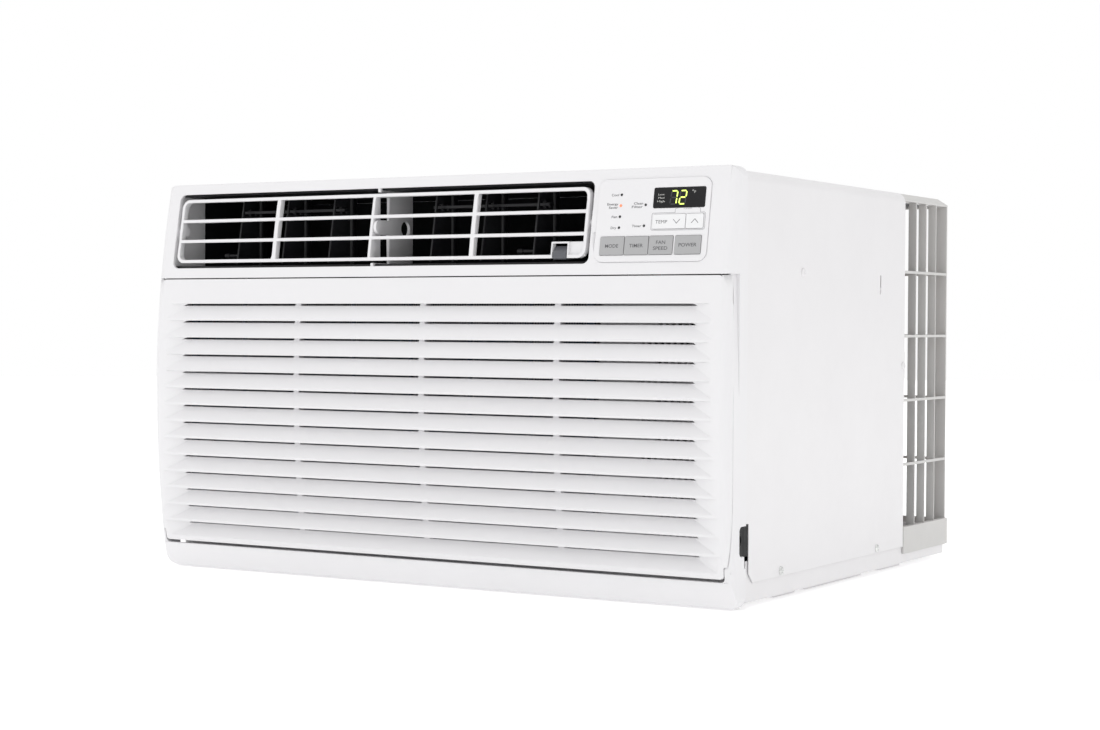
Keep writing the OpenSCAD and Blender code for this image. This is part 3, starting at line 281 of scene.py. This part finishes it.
def add_box(bm, x, y, z):
    """A box between two values of x, y and z, in millimetres."""
    c = [bm.verts.new((x[i] * MM, y[j] * MM, z[k] * MM))
         for i in (0, 1) for j in (0, 1) for k in (0, 1)]
    for f in ((0, 1, 3, 2), (4, 6, 7, 5), (0, 4, 5, 1), (2, 3, 7, 6), (0, 2, 6, 4), (1, 5, 7, 3)):
        bm.faces.new([c[i] for i in f])


def add_lathe(bm, profile, steps=32):
    """Revolves (radius, height) pairs about local Z; returns the new verts."""
    rings = []
    for r, h in profile:
        if r < 1e-9:
            rings.append([bm.verts.new((0, 0, h))])
        else:
            rings.append([bm.verts.new((r * math.cos(a), r * math.sin(a), h))
                          for a in (2 * math.pi * i / steps for i in range(steps))])
    for p, q in zip(rings, rings[1:]):
        for i in range(steps):
            j = (i + 1) % steps
            quad = [p[i % len(p)], p[j % len(p)], q[j % len(q)], q[i % len(q)]]
            seen = []
            for v in quad:
                if v not in seen:
                    seen.append(v)
            if len(seen) > 2:
                bm.faces.new(seen)
    return [v for ring in rings for v in ring]


# fronts, trims and sheet metal with softened edges
for node, width in (
    ("front_panel", 0.0006), ("inlet_grille", 0.0005), ("louver_frame", 0.0007),
    ("cabinet_wrapper", 0.0003),
    ("rear_top_cover", 0.0003), ("base_pan", 0.0004), ("control_fascia", 0.0004),
    ("button_mode", 0.0004), ("button_timer", 0.0004), ("button_fan_speed", 0.0004),
    ("button_power", 0.0004), ("button_temp_down", 0.0003), ("button_temp_up", 0.0003),
    ("display_window", 0.0002), ("vent_lever", 0.0006), ("cord_bushing", 0.0006),
):
    soften(node, width)


# ---------- screws ----------

HEAD_R, HEAD_H, RIM = 3.8 * MM, 2.0 * MM, 0.55 * MM
# the cross recess: an arm's reach, half its floor's width, its flank's width and its depth
ARM_REACH, ARM_HALF, ARM_FLANK, ARM_DEPTH = 2.2 * MM, 0.42 * MM, 0.3 * MM, 1.1 * MM


def screw_head(bm, at, side):
    """Domed head with a cross recess, its axis along X; at is in millimetres."""
    rings, steps = 14, 64
    # even steps of radius, so that the recess has vertices to work with
    profile = [(HEAD_R, 0.02 * MM), (HEAD_R, RIM)]
    profile += [(HEAD_R * (1 - i / rings),
                 RIM + (HEAD_H - RIM) * math.sqrt(1 - (1 - i / rings) ** 2))
                for i in range(1, rings + 1)]
    verts = add_lathe(bm, profile, steps)
    for v in verts:
        u, w = abs(v.co.x), abs(v.co.y)
        arm = min(u, w)
        out = max(u, w)
        if v.co.z > 0.6 * MM and out < ARM_REACH:
            dip = 1.0 if arm < ARM_HALF else max(0.0, 1 - (arm - ARM_HALF) / ARM_FLANK)
            taper = 1.0 - 0.75 * out / ARM_REACH
            v.co.z -= ARM_DEPTH * dip * taper
    shank = add_lathe(bm, [(2.0 * MM, 0.1 * MM), (1.9 * MM, -5.5 * MM), (0.6 * MM, -7 * MM),
                           (0, -7 * MM)], 16)
    turn = Matrix.Rotation(random.Random(at[1] * 7 + side).uniform(0, 1.5), 4, "Z")
    m = Matrix.Translation(Vector(at) * MM) @ Matrix.Rotation(side * math.pi / 2, 4, "Y") @ turn
    bmesh.ops.transform(bm, matrix=m, verts=list(set(verts + shank)))


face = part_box("cabinet_wrapper")[1].x / MM
# the low screws are bare zinc, the high ones are painted with the cabinet
for name, mat, places, stands_for in (
    ("case_screw_heads", "zinc", ((-147, 25.6), (69, 25.6)), ("case_screws",)),
    ("case_screw_heads_painted", "cabinet", ((-105, 282), (132, 197)), ()),
):
    bm = bmesh.new()
    for s in (-1, 1):
        for y, z in places:
            screw_head(bm, (s * face, y, z), s)
    bmesh.ops.recalc_face_normals(bm, faces=bm.faces[:])
    piece(name, bm, M[mat], "chassis", 40, stands_for)


# ---------- hook tabs ----------

# the tab's place on the side, and its outline: (out from the sheet, height) down its length
TAB_Y, TAB_Z = 74.2, 268.5
TAB_PATH = [(0.0, 3.2), (0.1, 2.0), (0.5, 0.9), (0.95, 0.1), (1.1, -1.0), (1.0, -2.2), (0.7, -3.4)]
TAB_ACROSS = (-1.6, -1.1, 1.1, 1.6)
TAB_THICK = 0.8
# the tab stays this far off the sheet's outer face, and within the sheet behind it
TAB_CLEAR, TAB_BEHIND = 0.02, -0.9


def hook_tab(side):
    """Small tongue bent out of the cabinet's side, at the foot of its slot."""
    bm = bmesh.new()

    def row(out, up):
        x = side * (face + TAB_CLEAR + max(out, TAB_BEHIND))
        return [bm.verts.new((x * MM, (TAB_Y + y) * MM, (TAB_Z + up) * MM)) for y in TAB_ACROSS]

    outer, inner = [], []
    for out, up in TAB_PATH:
        outer.append(row(out, up))
        # the tongue starts with no thickness, at the sheet
        inner.append(row(out - TAB_THICK if out > 0.05 else out, up))
    for k in range(len(TAB_PATH) - 1):
        for i in range(3):
            bm.faces.new((outer[k][i], outer[k][i + 1], outer[k + 1][i + 1], outer[k + 1][i]))
            bm.faces.new((inner[k][i], inner[k + 1][i], inner[k + 1][i + 1], inner[k][i + 1]))
        for i in (0, 3):
            bm.faces.new((outer[k][i], outer[k + 1][i], inner[k + 1][i], inner[k][i]))
    for k in (0, -1):
        for i in range(3):
            bm.faces.new((outer[k][i], outer[k][i + 1], inner[k][i + 1], inner[k][i]))
    bmesh.ops.recalc_face_normals(bm, faces=bm.faces[:])
    piece("hook_tab_" + ("right" if side > 0 else "left"), bm, M["cabinet"], "chassis",
          50)


hook_tab(1)
hook_tab(-1)


# ---------- coils ----------

# half the thickness of a fin
FIN_HALF = 0.00011


def fin_pack(node, pitch, seed):
    """Thin pressed fins, each with a slightly uneven edge, where the CAD has a solid block."""
    a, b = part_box(node)
    rnd = random.Random(seed)
    bm = bmesh.new()
    x0, x1, y0, y1, z0, z1 = a.x, b.x, a.y, b.y, a.z, b.z
    count = int((x1 - x0) / pitch)
    half = FIN_HALF
    levels = 7
    for i in range(count + 1):
        x = x0 + half + (x1 - x0 - 2 * half) * i / count
        cols = []
        bend = rnd.uniform(-1, 1) * pitch * 0.10
        for k in range(levels):
            z = z0 + (z1 - z0) * k / (levels - 1)
            w = 0
            if 0 < k < levels - 1:
                w = bend * math.sin(math.pi * k / (levels - 1) * rnd.choice((1, 2)))
            w = max(min(w, x1 - x - half), x0 + half - x)
            cols.append([bm.verts.new((x + w + s * half, y, z)) for s, y in
                         ((-1, y0), (1, y0), (1, y1), (-1, y1))])
        for p, q in zip(cols, cols[1:]):
            for j in range(4):
                n = (j + 1) % 4
                bm.faces.new((p[j], p[n], q[n], q[j]))
        bm.faces.new(cols[0][::-1])
        bm.faces.new(cols[-1])
    return piece(node + "_leaves", bm, M["fins"], BODY[node], 30, (node,), False)


fin_pack("condenser_fins", 0.0019, 4)
fin_pack("evaporator_fins", 0.0017, 9)


# ---------- air filter ----------

a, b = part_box("air_filter")
x0, x1, z0, z1 = a.x / MM, b.x / MM, a.z / MM, b.z / MM
y0, y1 = a.y / MM, b.y / MM
# width of the filter's rim, half the width of its ribs
RIM_W, RIB_HALF = 7, 1.2
bm = bmesh.new()
for x in ((x0, x0 + RIM_W), (x1 - RIM_W, x1)):
    add_box(bm, x, (y0, y1), (z0, z1))
for z in ((z0, z0 + RIM_W), (z1 - RIM_W, z1)):
    add_box(bm, (x0 + RIM_W, x1 - RIM_W), (y0, y1), z)
for i in range(1, 7):
    x = x0 + i * (x1 - x0) / 7
    add_box(bm, (x - RIB_HALF, x + RIB_HALF), (y0 + 0.1, y1 - 0.1), (z0 + RIM_W, z1 - RIM_W))
for i in range(1, 4):
    z = z0 + i * (z1 - z0) / 4
    add_box(bm, (x0 + RIM_W, x1 - RIM_W), (y0 + 0.15, y1 - 0.15), (z - RIB_HALF, z + RIB_HALF))
piece("air_filter_frame", bm, M["filter"], BODY["air_filter"], 30,
      ("air_filter",))

# the mesh: threads up and threads across, each a little proud on its own side
THREAD_STEP, THREAD_HALF = 2.6, 0.17
PROUD, SUNK = 0.2, 0.14
# how far into the filter a thread's end lies, inside the rim
THREAD_END = 6
bm = bmesh.new()
mid = (y0 + y1) / 2
n = int((x1 - x0 - 2 * RIM_W) / THREAD_STEP)
for i in range(1, n):
    x = x0 + RIM_W + i * (x1 - x0 - 2 * RIM_W) / n
    add_box(bm, (x - THREAD_HALF, x + THREAD_HALF), (mid - PROUD, mid + SUNK),
            (z0 + THREAD_END, z1 - THREAD_END))
n = int((z1 - z0 - 2 * RIM_W) / THREAD_STEP)
for i in range(1, n):
    z = z0 + RIM_W + i * (z1 - z0 - 2 * RIM_W) / n
    add_box(bm, (x0 + THREAD_END, x1 - THREAD_END), (mid - SUNK, mid + PROUD),
            (z - THREAD_HALF, z + THREAD_HALF))
piece("air_filter_mesh", bm, M["filter"], BODY["air_filter"], 30, (), False)


# ---------- foam on the back wall of the discharge duct ----------

# front and back of the sheet, and the three boxes round the vent door
FRONT, BACK = -73.6, -72.05
bm = bmesh.new()
for x, z in (((-289.4, 118.6), (289.4, 355.6)), ((163.4, 172.4), (289.4, 355.6)),
             ((118.6, 163.4), (317.4, 355.6))):
    add_box(bm, x, (FRONT, BACK), z)
bmesh.ops.subdivide_edges(bm, edges=bm.edges[:], cuts=6, use_grid_fill=True)
rnd = random.Random(21)
for v in bm.verts:
    if v.co.y < (FRONT + 0.1) * MM:
        v.co.y += rnd.uniform(0, 0.25) * MM
piece("duct_foam_liner", bm, M["foam"], "chassis", 40, (), False)


# ---------- control panel ----------

# the control plane leans back with the bowed face, at the middle of the controls
FACE_FRONT, BOW_R, BOW_Z, CTL_Z = -257, 902, 170, 323
TILT = math.asin((CTL_Z - BOW_Z) / BOW_R)
CTL_Y = FACE_FRONT + BOW_R - math.sqrt(BOW_R ** 2 - (CTL_Z - BOW_Z) ** 2) + 0.2
PLANE = Matrix.Translation((0, CTL_Y * MM, CTL_Z * MM)) @ Matrix.Rotation(-TILT, 4, "X")
# height of the key legends' middle; depths of the fascia, the window and the key caps
KEY_MID = -21.8
FACE, WINDOW, CAP = -0.6, -0.75, -1.2
# height of a capital in the font, for a size of 1
CAPITAL = 0.729


def prism(bm, points, front, back):
    """A flat shape on the control plane, drawn in x and z, between two depths."""
    f = [bm.verts.new(PLANE @ Vector((x * MM, front * MM, z * MM))) for x, z in points]
    r = [bm.verts.new(PLANE @ Vector((x * MM, back * MM, z * MM))) for x, z in points]
    bm.faces.new(f)
    bm.faces.new(r[::-1])
    for i in range(len(points)):
        j = (i + 1) % len(points)
        bm.faces.new((f[i], r[i], r[j], f[j]))


def stroke(bm, points, width, front, back):
    """A line of even width through the points, mitred at its corners."""
    left, right = [], []
    for i, p in enumerate(points):
        before = Vector(points[max(i - 1, 0)])
        after = Vector(points[min(i + 1, len(points) - 1)])
        p = Vector(p)
        d1 = (p - before).normalized() if i else (after - p).normalized()
        d2 = (after - p).normalized() if i < len(points) - 1 else d1
        t = (d1 + d2).normalized()
        side = Vector((-t.y, t.x)) * width / 2 / max(0.4, t.dot(d2))
        left.append(p + side)
        right.append(p - side)
    for i in range(len(points) - 1):
        prism(bm, [left[i], left[i + 1], right[i + 1], right[i]], front, back)


def print_on(name, bm, mat, body):
    bmesh.ops.recalc_face_normals(bm, faces=bm.faces[:])
    return piece(name, bm, mat, body, 30, (), False)


def lettering(name, text, x, z, height, width, depth, body, mat="ink", bold=0.012):
    """Words on the control plane.

    x, z is their middle, height that of a capital and width the whole word's.
    """
    curve = bpy.data.curves.new(name, "FONT")
    curve.body = text
    curve.offset = bold
    curve.extrude = 0.01
    curve.resolution_u = 3
    source = bpy.data.objects.new(name, curve)
    scene.collection.objects.link(source)
    bpy.context.view_layer.update()
    graph = bpy.context.evaluated_depsgraph_get()
    me = bpy.data.meshes.new_from_object(source.evaluated_get(graph))
    bpy.data.objects.remove(source)
    xs = [v.co.x for v in me.vertices]
    sx = width / (max(xs) - min(xs))
    sz = height / CAPITAL
    mx = (max(xs) + min(xs)) / 2
    for v in me.vertices:
        p = Vector((x + (v.co.x - mx) * sx, depth - 0.03 - v.co.z * 2,
                    z + (v.co.y - CAPITAL / 2) * sz))
        v.co = PLANE @ (p * MM)
    bm = bmesh.new()
    bm.from_mesh(me)
    bpy.data.meshes.remove(me)
    return print_on(name, bm, M[mat], body)


lettering("legend_mode", "MODE", 192.2, KEY_MID, 3.1, 12.6, CAP, "key_mode")
lettering("legend_timer", "TIMER", 215.5, KEY_MID, 3.1, 13.0, CAP, "key_timer")
lettering("legend_fan", "FAN", 238.4, KEY_MID + 2.5, 3.0, 8.6, CAP, "key_fan_speed")
lettering("legend_speed", "SPEED", 238.4, KEY_MID - 2.5, 3.0, 13.6, CAP, "key_fan_speed")
lettering("legend_power", "POWER", 263.6, KEY_MID, 3.1, 16.6, CAP, "key_power")
lettering("legend_temp", "TEMP", 237.3, -2.0, 3.0, 11.0, CAP, "key_temp_down", bold=0.0)
CHEVRON_MID, CHEVRON_RISE, CHEVRON_HALF = -1.85, 1.7, 3.1
for name, x, up, body in (("down", 251.5, -1, "key_temp_down"), ("up", 268.4, 1, "key_temp_up")):
    bm = bmesh.new()
    foot, tip = CHEVRON_MID - CHEVRON_RISE * up, CHEVRON_MID + CHEVRON_RISE * up
    stroke(bm, [(x - CHEVRON_HALF, foot), (x, tip), (x + CHEVRON_HALF, foot)], 0.5,
           CAP - 0.05, CAP + 0.02)
    print_on("chevron_" + name, bm, M["ink"], body)


def corner(cx, cz, r, a0, a1, steps=6):
    """Points on an arc round cx, cz from one angle in degrees to another."""
    return [(cx + r * math.cos(math.radians(a0 + (a1 - a0) * i / steps)),
             cz + r * math.sin(math.radians(a0 + (a1 - a0) * i / steps))) for i in range(steps + 1)]


# printed outline round the two temperature keys, with a raised tab for its caption
left, right, low, high, tab = 227.7, 277.5, -9.2, 5.6, 9.2
ROUND, TAB_ROUND = 1.8, 1.2
bm = bmesh.new()
stroke(bm, [(251.5, tab)] + corner(250.4, tab - TAB_ROUND, TAB_ROUND, 90, 180)[1:]
       + [(249.2, high)]
       + corner(left + ROUND, high - ROUND, ROUND, 90, 180)
       + corner(left + ROUND, low + ROUND, ROUND, 180, 270)
       + corner(right - ROUND, low + ROUND, ROUND, 270, 360)
       + corner(right - ROUND, high - ROUND, ROUND, 0, 90)
       + [(272.6, high)] + corner(271.4, tab - TAB_ROUND, TAB_ROUND, 0, 90) + [(270.4, tab)],
       0.4, FACE - 0.04, FACE + 0.02)
print_on("temp_outline", bm, M["outline"], "chassis")
lettering("legend_filter_reset", "Reset", 261.0, tab, 1.7, 8.0, FACE, "chassis", "outline", 0.0)

LAMPS = [(197.3, 22), (197.3, 12.7), (197.3, 3.2), (197.3, -6.2), (221, 12.8), (221, -5)]
LIT = 1
# width of a letter, pitch of the lines, and the gap from a label to its lamp
LETTER, LINE, LABEL_GAP = 1.75, 2.9, 2.6
for text, lamp, lines in (
    ("cool", 0, ["Cool"]), ("saver", 1, ["Energy", "Saver"]), ("fan", 2, ["Fan"]),
    ("dry", 3, ["Dry"]), ("clean", 4, ["Clean", "Filter"]), ("timer", 5, ["Timer"]),
):
    x, z = LAMPS[lamp]
    for i, word in enumerate(lines):
        width = LETTER * len(word)
        lettering(f"label_{text}_{i}", word, x - LABEL_GAP - width / 2,
                  z + (len(lines) - 1) * LINE / 2 - i * LINE,
                  2.1, width, FACE, "chassis", "ink", 0.012)
for i, (x, z) in enumerate(LAMPS):
    bm = bmesh.new()
    r = 1.0 * MM
    dome = add_lathe(bm, [(r, 0)] + [(r * math.cos(a), 0.35 * MM * math.sin(a))
                                     for a in (0.3, 0.6, 0.9, 1.2)] + [(0, 0.35 * MM)], 20)
    m = PLANE @ Matrix.Translation((x * MM, -0.68 * MM, z * MM))
    bmesh.ops.transform(bm, matrix=m @ Matrix.Rotation(math.pi / 2, 4, "X"), verts=dome)
    print_on(f"lamp_{i}", bm, M["lamp_on" if i == LIT else "lamp_off"], "chassis")

# two seven-segment digits: a top, b and c right, d bottom, e and f left, g middle
SEGMENTS = {"a": (0, 1, 1, 1), "b": (1, 1, 1, 0.5), "c": (1, 0.5, 1, 0), "d": (0, 0, 1, 0),
            "e": (0, 0.5, 0, 0), "f": (0, 1, 0, 0.5), "g": (0, 0.5, 1, 0.5)}
WIDE, TALL, THICK, SLANT = 5.6, 11.2, 1.0, 0.09
# gap left at a segment's ends, and the height of the digits' middle
END_GAP, DIGIT_MID = 0.45, 18.4
lit, unlit = bmesh.new(), bmesh.new()
for digit, x in (("abc", 244.2), ("abged", 252.6)):
    for seg, (u0, v0, u1, v1) in SEGMENTS.items():
        p = Vector((u0 * WIDE, (v0 - 0.5) * TALL))
        q = Vector((u1 * WIDE, (v1 - 0.5) * TALL))
        d = (q - p).normalized()
        p, q = p + d * END_GAP, q - d * END_GAP
        s = Vector((-d.y, d.x)) * THICK / 2
        ring = [p, p + d * THICK / 2 + s, q - d * THICK / 2 + s,
                q, q - d * THICK / 2 - s, p + d * THICK / 2 - s]
        pts = [(x + c.x + SLANT * c.y, DIGIT_MID + c.y) for c in ring]
        on = seg in digit
        prism(lit if on else unlit, pts, WINDOW - (0.05 if on else 0.03), WINDOW + 0.02)
print_on("display_digits", lit, M["digits"], "chassis")
print_on("display_digits_unlit", unlit, M["digits_off"], "chassis")
for i, word in enumerate(("Low", "Med", "High")):
    lettering(f"display_word_{i}", word, 235.2, 21.3 - i * LINE, 1.7, 2.4 * len(word) ** 0.8,
              WINDOW, "chassis", "ink_light", 0.0)
lettering("display_unit", "F", 266.4, 22.9, 2.2, 1.5, WINDOW, "chassis", "ink_light", 0.0)
bm = bmesh.new()
stroke(bm, corner(264.3, 24.0, 0.55, 0, 360, 12), 0.3, WINDOW - 0.04, WINDOW + 0.02)
print_on("display_degree", bm, M["ink_light"], "chassis")


# ---------- compressor trim ----------

# a welded seam round the shell: radius, and the place of its middle
SEAM_R = 62 * MM
SEAM_AT = (0.205, 0.012, 0.120)
bm = bmesh.new()
ring = add_lathe(bm, [(SEAM_R - 0.001, -0.004), (SEAM_R + 0.0006, -0.0035),
                      (SEAM_R + 0.0018, -0.0012), (SEAM_R + 0.0018, 0.0012),
                      (SEAM_R + 0.0006, 0.0035), (SEAM_R - 0.001, 0.004)], 72)
for v in ring:
    v.co.x *= 1 + 0.004 * math.sin(v.co.y * 900)
bmesh.ops.translate(bm, vec=SEAM_AT, verts=ring)
bmesh.ops.recalc_face_normals(bm, faces=bm.faces[:])
piece("compressor_weld_seam", bm, M["compressor"], "chassis", 40)


# ---------- studio ----------

WALL_LIGHT, CEILING_LIGHT = 0.72, 1.35
# the floor's own glow, painted light that is weaker close to the object than far from it, so a soft
# painted shade lies round the object's foot; and the radii of the two
FLOOR_GLOW_NEAR, FLOOR_GLOW_FAR = 0.38, 0.62
NEAR_R, FAR_R = 0.3, 1.6


def studio_floor():
    bm = bmesh.new()
    bmesh.ops.create_circle(bm, cap_ends=True, radius=7, segments=96)
    me = bpy.data.meshes.new("studio_floor")
    bm.to_mesh(me)
    bm.free()
    ob = bpy.data.objects.new("studio_floor", me)
    scene.collection.objects.link(ob)
    mat = bpy.data.materials.new("pale_floor")
    mat.use_nodes = True
    nt = mat.node_tree
    bsdf = nt.nodes["Principled BSDF"]
    bsdf.inputs["Base Color"].default_value = (0.85, 0.85, 0.85, 1)
    bsdf.inputs["Roughness"].default_value = 0.8
    bsdf.inputs["Emission Color"].default_value = (1, 1, 1, 1)
    coord = nt.nodes.new("ShaderNodeTexCoord").outputs["Object"]
    length = nt.nodes.new("ShaderNodeVectorMath")
    length.operation = "LENGTH"
    link(nt, coord, length.inputs[0])
    # painted light: the floor glows by its distance from the object, dimmer near it, a painted
    # shade round its foot
    link(nt, spread(nt, length.outputs["Value"], FLOOR_GLOW_NEAR, FLOOR_GLOW_FAR, NEAR_R, FAR_R),
         bsdf.inputs["Emission Strength"])
    me.materials.append(mat)


studio_floor()
world = bpy.data.worlds.new("studio")
scene.world = world
world.use_nodes = True
sky = world.node_tree
backdrop = sky.nodes["Background"]
backdrop.inputs["Color"].default_value = (1.0, 1.0, 1.0, 1)
backdrop.inputs["Strength"].default_value = 1.0
# the object is lit by a ceiling that is brighter than the walls
ceiling = sky.nodes.new("ShaderNodeBackground")
ray = sky.nodes.new("ShaderNodeLightPath")
swap = sky.nodes.new("ShaderNodeMixShader")
split = sky.nodes.new("ShaderNodeSeparateXYZ")
link(sky, sky.nodes.new("ShaderNodeTexCoord").outputs["Generated"], split.inputs[0])
link(sky, spread(sky, split.outputs["Z"], WALL_LIGHT, CEILING_LIGHT, -0.1, 0.9),
     ceiling.inputs["Strength"])
link(sky, ray.outputs["Is Camera Ray"], swap.inputs[0])
link(sky, ceiling.outputs[0], swap.inputs[1])
link(sky, backdrop.outputs[0], swap.inputs[2])
link(sky, swap.outputs[0], sky.nodes["World Output"].inputs["Surface"])


def softbox(name, at, target, size, power):
    light = bpy.data.lights.new(name, "AREA")
    light.shape = "RECTANGLE"
    light.size, light.size_y = size
    light.energy = power
    ob = bpy.data.objects.new(name, light)
    scene.collection.objects.link(ob)
    ob.location = at
    ob.rotation_mode = "QUATERNION"
    ob.rotation_quaternion = (Vector(target) - Vector(at)).to_track_quat("-Z", "Y")


softbox("key_light", (-1.6, -2.6, 2.3), (0, 0, 0.18), (2.2, 1.6), 8)
softbox("side_light", (2.8, -0.6, 1.5), (0.2, 0, 0.18), (1.8, 1.8), 1.5)
softbox("front_fill", (0.5, -3.2, 0.35), (0, -0.2, 0.2), (1.6, 1.0), 1.6)
softbox("top_light", (0, 0.2, 2.8), (0, 0, 0), (2.6, 2.6), 6)

CAMERA_AT = Vector((1.0547, -1.7924, 0.2373))
LENS = 68.9
# turned left from straight ahead, tipped down, and rolled
YAW, PITCH, ROLL = math.radians(30.85), math.radians(1.16), math.radians(0.28)
cam = bpy.data.cameras.new("camera")
cam.sensor_width = 36
cam.lens = LENS
cam.clip_start, cam.clip_end = 0.05, 50
cam_ob = bpy.data.objects.new("camera", cam)
scene.collection.objects.link(cam_ob)
forward = Vector((-math.sin(YAW) * math.cos(PITCH), math.cos(YAW) * math.cos(PITCH),
                  -math.sin(PITCH)))
level = forward.cross(Vector((0, 0, 1))).normalized()
upright = level.cross(forward)
across = math.cos(ROLL) * level + math.sin(ROLL) * upright
up = -math.sin(ROLL) * level + math.cos(ROLL) * upright
m = Matrix((across, up, -forward)).transposed().to_4x4()
m.translation = CAMERA_AT
cam_ob.matrix_world = m
scene.camera = cam_ob
scene.view_settings.view_transform = "Standard"
